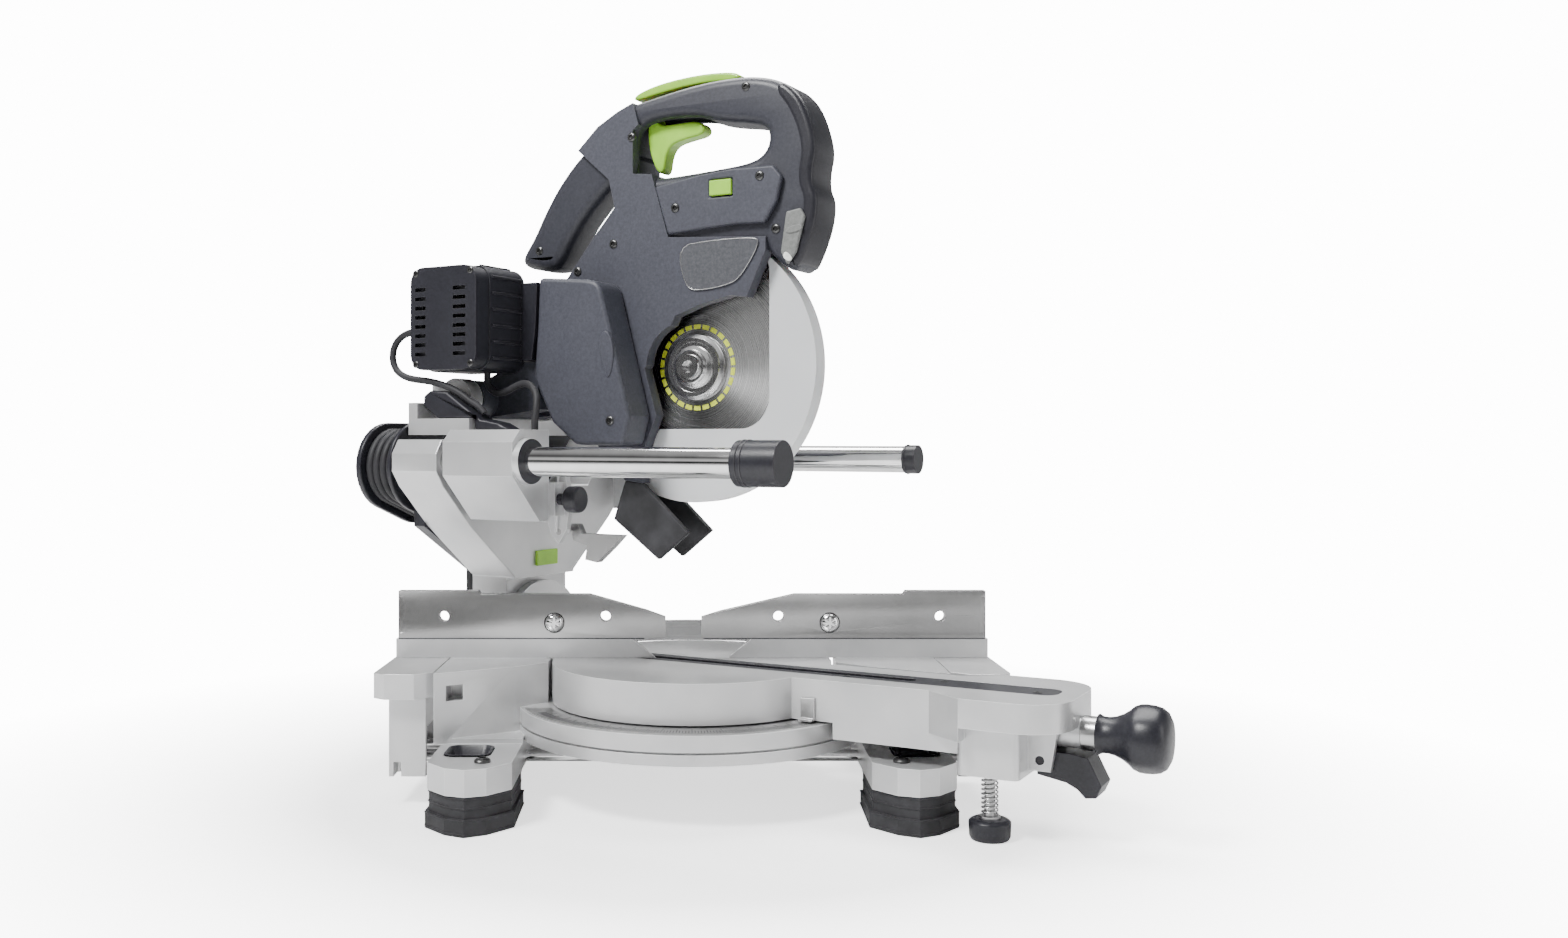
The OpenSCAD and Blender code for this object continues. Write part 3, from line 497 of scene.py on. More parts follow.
def carve(piece, *cutters):
    """Takes the cutters' volumes out of a piece."""
    collection = bpy.context.scene.collection.objects
    collection.link(piece)
    for cutter in cutters:
        collection.link(cutter)
        step = piece.modifiers.new("cut", "BOOLEAN")
        step.object = cutter
        step.solver = "EXACT"
    bpy.context.view_layer.update()
    mesh = bpy.data.meshes.new_from_object(
        piece.evaluated_get(bpy.context.evaluated_depsgraph_get()))
    piece.modifiers.clear()
    piece.data = mesh
    for cutter in cutters:
        bpy.data.objects.remove(cutter)
    shade(mesh)
    return piece


# ---- cords -------------------------------------------------------------------------------

CABLE_D, LEAD_D = 6.0, 7.5
DRUM_TOP, DRUM_LOW, DRUM_R = (102, 278), (66, 264), 26
WINDING_T = -227.15
TURNS = 4
PLUG_T, PLUG_S, PLUG_Z = -240, 12, 215


def fitted(points, step=2.5):
    """A smooth curve through points, as points a step apart in millimetres."""
    points = [Vector(p) for p in points]
    ends = [2 * points[0] - points[1]] + points + [2 * points[-1] - points[-2]]
    line = []
    for a, b, c, d in zip(ends, ends[1:], ends[2:], ends[3:]):
        count = max(1, round((c - b).length / step))
        for i in range(count):
            u = i / count
            line.append(0.5 * (2 * b + (c - a) * u + (2 * a - 5 * b + 4 * c - d) * u ** 2
                               + (3 * b - a - 3 * c + d) * u ** 3))
    line.append(points[-1])
    return line


def tube(name, path, radius, sides=12):
    """A tube along a path, of one radius or a list of them, carried without twist."""
    radii = radius if isinstance(radius, list) else [radius] * len(path)
    verts, faces = [], []
    normal = None
    for i, here in enumerate(path):
        along = (path[min(i + 1, len(path) - 1)] - path[max(i - 1, 0)]).normalized()
        if normal is None:
            normal = along.orthogonal().normalized()
        normal = (normal - along * normal.dot(along)).normalized()
        other = along.cross(normal)
        for k in range(sides):
            a = math.tau * k / sides
            verts.append(here + (normal * math.cos(a) + other * math.sin(a)) * radii[i])
    for i in range(len(path) - 1):
        for k in range(sides):
            n = (k + 1) % sides
            faces.append((i * sides + k, i * sides + n,
                          (i + 1) * sides + n, (i + 1) * sides + k))
    last = (len(path) - 1) * sides
    faces += [tuple(range(sides))[::-1], tuple(range(last, last + sides))]
    return mesh_piece(name, verts, faces, 60)


def winding_path():
    """The lead on its drum, in (t, s, z), from the drum's wall to the plug."""
    radius = DRUM_R + LEAD_D / 2 + 0.25
    corners = [(-DRUM_LOW[0], DRUM_LOW[1]), (-DRUM_TOP[0], DRUM_TOP[1]), DRUM_TOP, DRUM_LOW]
    corners = [Vector(c) for c in corners]
    pitch = LEAD_D + 0.07
    bottom = corners[0].y - radius

    def normal(a, b):
        d = (b - a).normalized()
        return math.atan2(d.x, -d.y)

    path = [(WINDING_T, 45, bottom + 6), (WINDING_T, 37, bottom + 4.6),
            (WINDING_T, 27, bottom + 1.6), (WINDING_T, 15, bottom)]
    for turn in range(TURNS):
        t = WINDING_T - pitch * turn
        if turn:
            for i in range(1, 5):
                u = i / 5
                ease = u * u * (3 - 2 * u)
                path.append((t + pitch * (1 - ease), 60 - 50 * u, bottom))
        path += [(t, s, bottom) for s in (0, -25, -50)]
        for i, corner in enumerate(corners):
            before, after = corners[i - 1], corners[(i + 1) % 4]
            a0, a1 = normal(before, corner), normal(corner, after)
            # the lead turns clockwise as the operator sees it
            while a1 > a0:
                a1 -= math.tau
            count = max(3, round((a0 - a1) / 0.22))
            if turn == TURNS - 1 and i == 3:
                count, a1 = 1, a0 - 0.01
            for k in range(count + 1):
                a = a0 + (a1 - a0) * k / count
                path.append((t, corner.x + radius * math.cos(a),
                             corner.y + radius * math.sin(a)))
            if i in (0, 1, 2):
                nxt = corners[i + 1]
                for u in (0.33, 0.67):
                    middle = corner.lerp(nxt, u)
                    path.append((t, middle.x + radius * math.cos(a1),
                                 middle.y + radius * math.sin(a1)))
    return path


def make_cords():
    """The wound mains lead, and the two cables between motor and carriage."""
    path = winding_path()
    t, s, z = path[-1]
    lean = math.atan2(path[-2][2] - z, path[-2][1] - s)
    bend = 32
    drop = bend * (1 - math.cos(lean))
    run = (z - PLUG_Z - drop) / math.tan(lean)
    knee = s - run
    for u in (0.33, 0.67, 1.0):
        path.append((t + (PLUG_T - t) * u * 0.8, s - run * u,
                     z - (z - PLUG_Z - drop) * u))
    for u in (0.5, 1.0):
        path.append((PLUG_T + (t - PLUG_T) * 0.1 * (1 - u), knee - bend * math.sin(lean) * u,
                     PLUG_Z + bend * (1 - math.cos(lean * (1 - u)))))
    path.append((PLUG_T, PLUG_S, PLUG_Z))
    line = [p * MM for p in fitted([at(*p) / MM for p in path], 4)]
    lead = place(tube("mains_lead", line, LEAD_D / 2 * MM), LEAD, "bevel_arm",
                 "cord_rubber", "mains_winding")
    make_plug(line[-7:])

    end_cap_route = [
        (-114, 214.2, 396), (-114, 222, 395.5), (-114, 230, 392.5), (-114, 236.5, 387),
        (-114, 240, 379.5), (-114, 240, 371), (-114, 236, 363.5), (-114, 229, 358.5),
        (-113.5, 220, 355.5), (-113, 210, 354), (-112, 199, 352.5), (-111, 188, 350),
        (-110, 177, 346), (-109, 167, 341), (-108, 158, 335), (-107, 150, 330.5),
        (-106, 144, 324.5)]
    motor_route = [
        (-82, 160, 360.8), (-82, 160, 353), (-82.5, 156, 346.5), (-84, 149, 343),
        (-86, 140, 342.5), (-89, 130, 345), (-92, 119, 348.5), (-96, 108, 349.5),
        (-100, 98, 346), (-104, 91, 339), (-107, 88.5, 331), (-109, 88, 323),
        (-110, 88, 316.5), (-110, 88, 310.1)]
    for name, route in (("end_cap_cable", end_cap_route), ("motor_lead", motor_route)):
        line = [p * MM for p in fitted([at(-y, s, z) / MM for s, y, z in route])]
        cable = tube(name, line, CABLE_D / 2 * MM)
        bpy.context.scene.collection.objects.link(cable)
        paint(cable, LEAD)
        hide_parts("motor_cable")
        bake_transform(cable)


def make_plug(tail):
    """The mains plug: its body, a ribbed strain relief along the lead's tail, two pins."""
    middle, axis = at(PLUG_T, PLUG_S, PLUG_Z), -SIDE
    body = lathe("plug_body", [(3.6, 0), (6.2, 1), (7.4, 6), (11.5, 13), (12.6, 20),
                               (12.8, 36), (13, 40), (12.2, 43.6), (4, 44)], middle, axis)
    radii = [(4.1 + 0.3 * i + (0.35 if i % 2 else 0)) * MM for i in range(len(tail))]
    relief = tube("strain_relief", tail, radii, 24)
    pins = [lathe("pin", [(2.2, 43), (2.35, 44), (2.35, 60), (1.2, 62.8)],
                  middle + UP * dz * MM, axis, 16) for dz in (-9.5, 9.5)]
    plug = joined("mains_plug_finished", [body, relief, *pins])
    return place(plug, RUBBER, "bevel_arm", "black_plastic", "mains_plug")


make_cords()

# ---- castings ----------------------------------------------------------------------------

CAST_ROUNDING = {
    "base_casting": 3.0, "left_extension_table": 2.2, "right_extension_table": 2.2,
    "turntable": 3.0, "trunnion": 2.0, "bevel_column": 4.0, "carriage": 2.2,
    "stop_bracket": 1.0, "lower_fence": 0.8, "left_upper_fence": 0.9,
    "right_upper_fence": 0.9, "mitre_pointer": 0.5, "knob_neck": 1.0, "work_lamp": 1.6,
    "deflector_hook": 0.8,
}
PLASTIC_ROUNDING = {
    "rubber_feet": 2.4, "detent_lever": 3.0, "column_cover": 2.5, "cord_winder": 1.6,
    "rail_caps": 3.0, "slide_lock": 2.0, "carriage_cover": 2.4, "bevel_clamp": 2.0,
    "head_housing": 2.6, "gear_cover": 4.0, "belt_cover": 5.0, "switch_panel": 2.2,
    "motor_housing": 4.5, "motor_end_cap": 1.3, "dust_chute": 1.2, "kerf_insert": 0.5,
    "spindle_button": 1.2, "support_pad": 1.4, "angle_window": 0.8,
}


def make_softened():
    """Every casting and plain moulding, rounded; the rubber dust chute gets a mesh of its
    own.
    """
    made = {node: soften(node, width)
            for node, width in {**CAST_ROUNDING, **PLASTIC_ROUNDING}.items()}
    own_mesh(made["dust_chute"])


# ---- base details ------------------------------------------------------------------------

def make_scale():
    """Degree ticks on the mitre ring, longer every fifth and again every tenth one."""
    parts = []
    for degree in range(-64, 65):
        inner = 134.5 if degree % 5 else 130.5
        inner = 128.5 if degree % 10 == 0 else inner
        a = math.radians(degree)
        out = Vector((math.sin(a), -math.cos(a), 0))
        across = Vector((out.y, -out.x, 0)) * 0.22
        low, high = 75.78, 75.95
        verts = [(out * r + across * side + UP * z) * MM
                 for r in (inner, 142) for side in (-1, 1) for z in (low, high)]
        parts.append(mesh_piece("tick", verts, BOX))
    place(joined("scale_ticks", parts), INK, "base", "black_plastic")


def ring_loop(x0, x1, y0, y1, r, z, steps=6):
    """A rounded rectangle's points at height z."""
    corners = [(x1 - r, y1 - r, 0), (x0 + r, y1 - r, 90), (x0 + r, y0 + r, 180),
               (x1 - r, y0 + r, 270)]
    return [Vector((x + r * math.cos(math.radians(a + 90 * k / steps)),
                    y + r * math.sin(math.radians(a + 90 * k / steps)), z)) * MM
            for x, y, a in corners for k in range(steps + 1)]


def make_cups():
    """Moulded cups in the feet, the bolts beside them and the beads round the rubber."""
    cups, bolts = [], []
    for side in (-1, 1):
        middle = side * 179
        levels = [(0.0, 52.1), (1.6, 52.4), (2.6, 51.4), (4.2, 46), (7.5, 41.5), (12, 40.2)]
        loops = [ring_loop(middle - 18.6 + d, middle + 18.6 - d, -113.6 + d, -74.4 - d,
                           max(1.5, 9 - d * 0.5), z) for d, z in levels]
        count = len(loops[0])
        verts = [p for loop in loops for p in loop]
        faces = [(j * count + i, j * count + (i + 1) % count,
                  (j + 1) * count + (i + 1) % count, (j + 1) * count + i)
                 for j in range(len(loops) - 1) for i in range(count)]
        faces.append(tuple(range((len(loops) - 1) * count, len(loops) * count)))
        cups.append(mesh_piece("cup", verts, faces, 50))
        bolts.append(screw_head((side * 163, -131, 51), UP, 6.5, 3.4))
    place(joined("foot_cups", cups), DARK, "base", "black_plastic")
    beads = []
    sole = [(139, -65), (138.4, -131), (157, -152.6), (173, -160.4), (189, -152.6),
            (207.6, -131), (207, -65)]
    wall = [(141, -65), (141, -130), (158, -150), (173, -158), (188, -150), (205, -130),
            (205, -65)]
    for side in (-1, 1):
        for outline, z in ((sole, 12.4), (sole, 2.2), (wall, 21), (wall, 28.6)):
            beads.append(tube("bead", [Vector((side * x, y, z)) * MM for x, y in outline],
                              0.8 * MM, 8))
    place(joined("foot_beads", beads), RUBBER, "base", "rubber")
    place(joined("foot_bolts", bolts), BOLT, "base", "steel")


def make_fence_details():
    """The fence's black strips of painted shadow in its gaps, its taller rear web with a
    black band of painted shade at its foot, and the domed clamping screws.
    """
    shadow_strips = []
    # black strips in the thin gaps above and below the lower fence: painted shadow where the
    # gaps lie in shade
    for x0, x1 in ((-257.5, -42), (10, 257.5)):
        shadow_strips.append(world_block((x0, 9.7, 126.7), (x1, 9.9, 127.6)))
    for x0, x1 in ((-126, -44), (33, 126)):
        shadow_strips.append(world_block((x0, 10.4, 110.03), (x1, 21, 110.27)))
    place(joined("fence_gap_shadows", shadow_strips), INK, "base", "black_plastic")
    verts, faces = [], []
    steps = 48
    for k in range(steps + 1):
        a = math.radians(-52 + 104 * k / steps)
        out = Vector((math.sin(a), math.cos(a), 0))
        rise = 122 + 5 * min(1.0, (steps / 2 - abs(k - steps / 2)) / 6)
        verts += [(out * r + UP * z) * MM for r, z in ((134.6, 108.7), (141.4, 108.7),
                                                      (141.4, rise), (134.6, rise))]
    for k in range(steps):
        for i in range(4):
            j = (i + 1) % 4
            faces.append((4 * k + i, 4 * k + j, 4 * k + 4 + j, 4 * k + 4 + i))
    faces += [(3, 2, 1, 0), tuple(range(4 * steps, 4 * steps + 4))]
    place(mesh_piece("fence_rear_web", verts, faces), CAST, "base", "cast_silver")
    # a black bead along the web's foot: painted shade for the dark gap behind the table
    arc = [Vector((138 * math.sin(a), 138 * math.cos(a), 109.3)) * MM
           for a in (math.radians(-34 + 68 * k / 40) for k in range(41))]
    place(tube("fence_web_shade_band", arc, 1.7 * MM, 10), RUBBER, "base", "rubber")
    back = Vector((0, -1, 0))
    for side, body in ((-1, "left_screw"), (1, "right_screw")):
        name = "left_fence_screw" if side < 0 else "right_fence_screw"
        centre = Vector((side * 121, 10.4, 141))
        profile = [(7.9, -11.6), (7.9, -3.4), (8.5, -3.2), (8.5, -0.6), (8.3, 0.6),
                   (7.6, 2.2), (6.2, 3.6), (4.0, 4.5), (1.8, 4.9), (0.05, 5)]
        dome = lathe(name + "_finished", profile, centre * MM, back)
        slots = []
        for turn in range(3):
            a = math.radians(60 * turn + 30)
            along = Vector((math.cos(a), 0, math.sin(a)))
            across = Vector((-math.sin(a), 0, math.cos(a)))
            corners = [(centre + along * u * 5.2 + across * v * 0.9 + back * w) * MM
                       for u in (-1, 1) for v in (-1, 1) for w in (2.6, 9)]
            slots.append(mesh_piece("slot", corners, BOX))
        place(carve(dome, *slots), CHROME, body, "steel", name)


BOX = [(0, 1, 3, 2), (4, 6, 7, 5), (0, 4, 5, 1), (2, 3, 7, 6), (0, 2, 6, 4), (1, 5, 7, 3)]


def world_block(low, high):
    """A box along the frame's own axes, in millimetres."""
    verts = [Vector((x, y, z)) * MM for x in (low[0], high[0]) for y in (low[1], high[1])
             for z in (low[2], high[2])]
    return mesh_piece("block", verts, BOX)


def screw_head(middle, axis, radius, height):
    """A domed head with a round drive recess, standing on middle in millimetres."""
    r, h = radius, height
    profile = [(r * 0.9, -0.4), (r, 0), (r, h * 0.45), (r * 0.86, h * 0.78), (r * 0.6, h),
               (r * 0.44, h), (r * 0.42, h * 0.35), (0.05, h * 0.3)]
    return lathe("screw", profile, Vector(middle) * MM, axis, 24)


def make_screws():
    """The dark screws of the housing, and the steel ones of the castings."""
    near = -SIDE
    spots = [((-47, 566), 24), ((-66, 474), 24), ((-104, 452), 24), ((-1, 500), 27),
             ((80, 520), 27), ((64, 597), 20.6), ((92, 476), 21), ((-46, 318), 60),
             ((-150, 474), 18.6)]
    heads = [screw_head(at(t, -s, z) / MM, near, 3.9, 1.6) for (t, z), s in spots]
    far = [((-60, 470), 22), ((-100, 440), 22), ((-47, 566), 22), ((64, 590), 21),
           ((-150, 424), 46), ((-150, 386), 46), ((-20, 382), 46), ((-20, 346), 46)]
    heads += [screw_head(at(t, s, z) / MM, SIDE, 3.9, 1.6) for (t, z), s in far]
    place(joined("head_screws", heads), BOLT, "head", "steel", "housing_screws")
    cap = [screw_head(at(t, -122, z) / MM, near, 3.0, 0.9)
           for t in (-207, -147) for z in (367, 446)]
    place(joined("cap_screws", cap), BOLT, "head", "steel")
    table = [screw_head(at(t, s, 109.9) / MM, UP, 3.4, 0.5)
             for t, s in ((-80, -9.5), (60, 10), (150, -9.5), (228, 6), (306, -6))]
    place(joined("insert_screws", table), BOLT, "table", "steel")
    trunnion = [screw_head(at(-157.6, 40 * math.cos(a), 110 + 40 * math.sin(a)) / MM,
                           FORWARD, 4.2, 2.4) for a in (0.55, 2.6)]
    place(joined("trunnion_screws", trunnion), BOLT, "table", "steel")


# ---- head --------------------------------------------------------------------------------

WINDOW = [(-46, 534), (-46, 566), (-40, 577), (-20, 580.5), (17, 579), (34, 571.5), (72, 566),
          (84, 560), (83, 544), (70, 534), (30, 531), (-10, 529), (-36, 529)]


def blade_room():
    """What the blade and its guard sweep inside the housing."""
    return lathe("cutter", [(120.6, -11), (120.6, 11)], at(HUB_T, 0, HUB_Z), SIDE, 96)


def make_handle():
    """The loop handle: one rounded moulding that the housing's plates clasp."""
    outline = [(-70, 585), (-58, 594), (-40, 598), (12, 606), (46, 607.5), (72, 606),
               (96, 599), (113, 584), (122, 564), (128, 540), (124, 524), (124, 510),
               (129, 500), (127, 480), (119, 458), (109, 439), (96, 446), (84, 458),
               (80, 463), (-10, 468), (-30, 500), (-62, 540)]
    body = slab("main_handle_finished", smooth(outline), -21, 21, 8,
                [smooth(WINDOW)[::-1]], 6)
    slot = [(-58, 588), (-38, 591), (40, 603), (55, 603), (55, 630), (-58, 630)]
    well = [(-46, 560), (-44, 592), (-28, 592), (-20, 586), (25, 586), (25, 570)]
    carve(body, blade_room(), *(slab("room", shape, -10, 10, 0.02, (), 0)
                                for shape in (slot, well)))
    place(body, HANDLE, "head", "black_plastic", "main_handle")
    band = [(96, 599.5), (113, 585), (122.5, 565), (128.5, 541), (124.5, 524), (124.5, 510),
            (129.3, 500), (127.3, 480), (119.3, 458), (111, 442), (103, 449), (109, 464),
            (114, 482), (116, 499), (111, 511), (111, 524), (114, 540), (109, 560),
            (101, 576), (90, 590)]
    place(slab("handle_band", smooth(band, 2), -21.7, 21.7, 4.5, (), 4), DARK, "head",
          "black_plastic")
    grip = [(-56, 540), (-86, 572), (-108, 557), (-130, 534), (-147, 509), (-159, 487),
            (-172, 470), (-170, 461), (-152, 456.5), (-134, 456), (-127, 462), (-118, 478),
            (-104, 498), (-80, 522)]
    place(slab("rear_grip_finished", smooth(grip), -19, 19, 9, (), 6), HANDLE, "head",
          "black_plastic", "rear_grip")
    pull = [(-41, 562), (-40, 586), (-33, 588), (-29, 577), (-14, 577), (9, 577.5), (17, 572),
            (15.5, 565), (0, 563), (-16, 560), (-22, 551), (-24, 535.5), (-32, 536)]
    place(slab("trigger_finished", smooth(pull, 2), -8, 8, 2.4), LIME, "trigger", "lime",
          "trigger")
    lever = [(-54, 600.5), (-54, 607), (-28, 614), (12, 617), (44, 615), (52, 611),
             (49, 606.5), (12, 609), (-28, 605)]
    place(slab("unlock_lever_finished", smooth(lever, 2), -9, 9, 2.2), LIME, "unlock",
          "lime", "unlock_lever")


def make_face_details():
    """The plain plate with its rim, and the raised rib on the gear cover."""
    plate = [(0, 467), (30, 470), (76, 470), (78.5, 464), (63, 440), (52, 432), (20, 428),
             (8, 432)]
    soft = smooth(plate, 2)
    place(slab("name_plate_finished", soft, -25.3, -23, 0.5, (), 2), PLATE, "head",
          "plate", "name_plate")
    rim = [at(t, -25.3, z) for t, z in soft]
    place(tube("name_plate_rim", rim + [rim[0]], 0.45 * MM, 8), RIM, "head", "plate")
    rib = [(-56, 392), (-49, 396), (-43, 386), (-42, 368), (-47, 352), (-52, 362),
           (-57, 378)]
    place(slab("gear_cover_rib", smooth(rib, 3), -61.2, -58, 1.0), SHELL, "head",
          "grey_plastic")


def make_guard_and_blade():
    """The blade, its flanges, bolt and dashed ring, and the guard's rolled rims."""
    hub = at(HUB_T, 0, HUB_Z)
    seat = plane(HUB_T, 0, HUB_Z)
    mesh = NODES["saw_blade"].data.copy()
    mesh.transform(seat.inverted())
    shade(mesh, 20)
    blade = bpy.data.objects.new("saw_blade_finished", mesh)
    blade.matrix_world = seat
    place(blade, BLADE, "blade", "blade_steel", "saw_blade")
    stack = [(15, -5.8), (28, -5.8), (28.4, -5), (28.4, -2.2), (25.5, -1.4), (25.2, 1.2),
             (22, 1.2), (21.6, 0.2), (18.6, 0.2), (18.2, 2.6), (15, 3.4), (14.6, 6.2),
             (13.6, 7), (10.8, 7), (10.6, 9.6), (9.8, 10.6), (5.4, 10.6), (5.2, 5), (0.05, 5)]
    near = lathe("flange", [(r, a + 7.2) for r, a in stack], hub, -SIDE, 64)
    far = lathe("flange", [(7.5, -20), (7.5, -6.6), (28, -6.6), (28.4, -5.8), (28.4, -1.4),
                           (7.5, -1.3)], hub, -SIDE, 64)
    shaft = lathe("shaft", [(6.5, -40), (7.5, -39), (7.5, -1), (7.5, 1)], hub, -SIDE, 32)
    place(joined("arbor_finished", [near, far, shaft]), BRIGHT, "blade", "steel", "arbor")
    dashes = []
    count = 26
    for i in range(count):
        a0, a1 = math.tau * (i + 0.12) / count, math.tau * (i + 0.88) / count
        arc = [a0 + (a1 - a0) * k / 5 for k in range(6)]
        outline = [(HUB_T + r * math.cos(a), HUB_Z + r * math.sin(a))
                   for r, angles in ((37.4, arc), (33.4, arc[::-1])) for a in angles]
        dashes.append(slab("dash", outline, -1.45, -1.1, 0.1, (), 0))
    place(joined("blade_ring", dashes), RING, "blade", "lime")
    for name, offset in (("guard_rim_near", -8.2), ("guard_rim_far", 8.2)):
        arc = [math.radians(-122 + 174 * k / 90) for k in range(91)]
        rim = [at(HUB_T + 116 * math.cos(a), offset, HUB_Z + 116 * math.sin(a))
               for a in arc]
        place(tube(name, rim, 0.9 * MM, 10), GUARD, "guard", "guard_white")


def make_motor_details():
    """Moulded ribs along the motor's barrel, and the knurled speed dial on its top."""
    parts = []
    for z in (372, 386, 400, 414, 428, 442):
        for t, out in ((-214, -1), (-140, 1)):
            path = [at(t + out * 0.2, s, z) for s in (-101, -90, -76, -60)]
            parts.append(tube("rib", path, 1.3 * MM, 8))
    for t in (-200, -188, -165, -153):
        path = [at(t, s, 452.1) for s in (-101, -90, -76, -60)]
        parts.append(tube("rib", path, 1.3 * MM, 8))
    place(joined("motor_ribs", parts), DARK, "head", "black_plastic")
    lens = slab("dial_lens", smooth([(-172, 449), (-158, 449), (-156, 450.4), (-174, 450.4)],
                                    1), -118, -106, 0.3, (), 1)
    place(lens, LAMP, "head", "lamp_grey")
    dial = lathe("speed_dial_finished", [(7.2, 0), (7.6, 0.4), (7.6, 5.2), (7.0, 6.1),
                                         (4.6, 6.3), (4.2, 5.6), (0.05, 5.5)],
                 at(DIAL_T, DIAL_S, 445.5), UP, 96)
    middle = at(DIAL_T, DIAL_S, 0)
    for vertex in dial.data.vertices:
        out = Vector((vertex.co.x - middle.x, vertex.co.y - middle.y, 0))
        knurl = 1 - 0.035 * (1 + math.cos(20 * math.atan2(out.y, out.x))) / 2
        if out.length > 6.5 * MM:
            vertex.co = Vector((middle.x, middle.y, vertex.co.z)) + out * knurl
    shade(dial.data, 40)
    place(dial, LIME, "dial", "lime", "speed_dial")


def make_lamp_details():
    """The light window at the lamp's lower end, and its strap."""
    led = slab("lamp_lens", smooth([(100, 452), (106, 447), (110, 450), (103, 457)], 2),
               -25.8, -24.6, 0.4, (), 2)
    place(led, LENS, "head", "lamp_grey")
    strap = slab("lamp_strap", smooth([(104, 476), (118, 478), (118, 472), (103, 470)], 2),
                 -26, -24, 0.6, (), 2)
    place(strap, LAMP, "head", "lamp_grey")


# ---- support, knob and slide ------------------------------------------------------------

def make_spring():
    """The support foot's spring, and a rolled thread on its screw."""
    t, s = 276, -28
    coils, wire, low, high = 9, 1.3, 18.9, 49.2
    steps = coils * 20
    path = [at(t + 6.0 * math.cos(math.tau * coils * i / steps),
               s + 6.0 * math.sin(math.tau * coils * i / steps),
               low + (high - low) * i / steps) for i in range(steps + 1)]
    spring = place(tube("support_spring_coil", path, wire / 2 * MM, 8), BRIGHT, "table",
                   "steel", "support_spring")
    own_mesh(spring)
    pitch, r = 1.5, 4.0
    steps = int(14 / pitch * 16)
    path = [at(t + r * math.cos(math.tau * i / 16), s + r * math.sin(math.tau * i / 16),
               18.6 + pitch * i / 16) for i in range(steps)]
    place(tube("support_thread", path, 0.32 * MM, 6), PLAIN_STEEL, "support", "steel")


def make_rear_details():
    """Ribs and screws on the column's back cover, and clips at the winder's edge."""
    ribs = [tube("rib", [at(-218.1, s, z) for z in (108, 140, 178)], 1.2 * MM, 8)
            for s in (-30, -18, 18, 30)]
    ribs += [tube("rib", [at(-218.1, s, z) for s, z in ((side * 48, 190), (side * 104, 230))],
                  1.2 * MM, 8) for side in (-1, 1)]
    place(joined("cover_ribs", ribs), DARK, "bevel_arm", "black_plastic")
    heads = [screw_head(at(-218, s, z) / MM, -FORWARD, 4, 1.8)
             for s, z in ((-34, 150), (34, 150))]
    heads += [screw_head(at(-228.2, s, z) / MM, -FORWARD, 4, 1.8)
              for s, z in ((-86, 270), (86, 270), (0, 262))]
    place(joined("cover_screws", heads), BOLT, "bevel_arm", "steel")
    clips = []
    for s in (-58, 58):
        outline = [(s - 7, 300.5), (s - 7, 315), (s + 7, 315), (s + 7, 300.5)]
        verts = [at(t, u, z) for t in (-260, -257.6) for u, z in outline]
        clips.append(mesh_piece("clip", verts, [(0, 1, 2, 3), (7, 6, 5, 4), (0, 4, 5, 1),
                                                (1, 5, 6, 2), (2, 6, 7, 3), (3, 7, 4, 0)]))
    piece = place(joined("winder_clips", clips), DARK, "bevel_arm", "black_plastic")
    rounding = piece.modifiers.new("rounding", "BEVEL")
    rounding.width = 0.9 * MM
    rounding.segments = ROUNDING_SEGMENTS


def make_knob():
    """The mitre knob: a turned profile with three shallow finger flats."""
    profile = [(15, 12.6), (15.2, 13), (13.6, 16), (13.5, 20), (14.4, 25), (17, 31),
               (20.2, 35.5), (23.4, 39), (25, 43), (25.4, 47), (25, 53), (23.8, 58),
               (21, 62), (16, 64.6), (8, 65.8), (0.05, 66)]
    centre = at(KNOB_T, 0, KNOB_Z)
    knob = lathe("mitre_knob_finished", profile, centre, FORWARD, 72)
    mesh = knob.data
    for vertex in mesh.vertices:
        out = vertex.co - centre
        along = out.dot(FORWARD)
        across = out - FORWARD * along
        angle = math.atan2(across.z, across.dot(SIDE))
        share = max(0.0, 1 - abs(along / MM - 47) / 19)
        dent = 0.055 * share * max(0.0, math.cos(3 * angle)) ** 2
        vertex.co = centre + FORWARD * along + across * (1 - dent)
    shade(mesh, 60)
    stem = lathe("stem", [(5.9, -36), (5.9, 16)], centre, FORWARD, 32)
    place(joined("mitre_knob_turned", [knob, stem]), DARK, "knob", "black_plastic",
          "mitre_knob")


def make_rail_details():
    """Bead rings on the rail caps and wiper lips where the rails enter the carriage."""
    rings = []
    turns = [math.tau * k / 48 for k in range(49)]
    for t, s, r in ((124, -RAIL_S, 17.5), (128, -RAIL_S, 17.5), (147, RAIL_S, 13)):
        loop = [at(t, s + r * math.cos(a), RAIL_Z + r * math.sin(a)) for a in turns]
        rings.append(tube("bead", loop, 0.6 * MM, 8))
    place(joined("cap_beads", rings), DARK, "bevel_arm", "black_plastic")
    lips = [lathe("lip", [(12.15, -0.2), (18.6, -0.2), (18.6, 0.3), (14, 0.7), (12.2, 0.7)],
                  at(-72, s, RAIL_Z), FORWARD) for s in (-RAIL_S, RAIL_S)]
    place(joined("rail_wipers", lips), DARK, "carriage", "black_plastic")
    ribs = []
    for t, z0, z1 in ((-92, 232, 262), (-80, 224, 272)):
        ribs.append(tube("rib", [at(t, -91, z0), at(t + 2, -91.5, z1)], 1.6 * MM, 8))
    ribs.append(tube("rib", [at(-97, -91, 250), at(-68, -91, 246)], 1.6 * MM, 8))
    place(joined("bracket_ribs", ribs), CAST, "carriage", "cast_silver")


make_softened()
make_scale()
make_cups()
make_fence_details()
make_screws()
make_handle()
make_face_details()
make_guard_and_blade()
make_motor_details()
make_lamp_details()
make_spring()
make_rear_details()
make_knob()
make_rail_details()


# ---- studio ------------------------------------------------------------------------------

PAPER = 14.0       # emission that reads as white paper through the view transform
FLOOR_LIFT = 1.6   # how far the floor near the saw is raised towards it


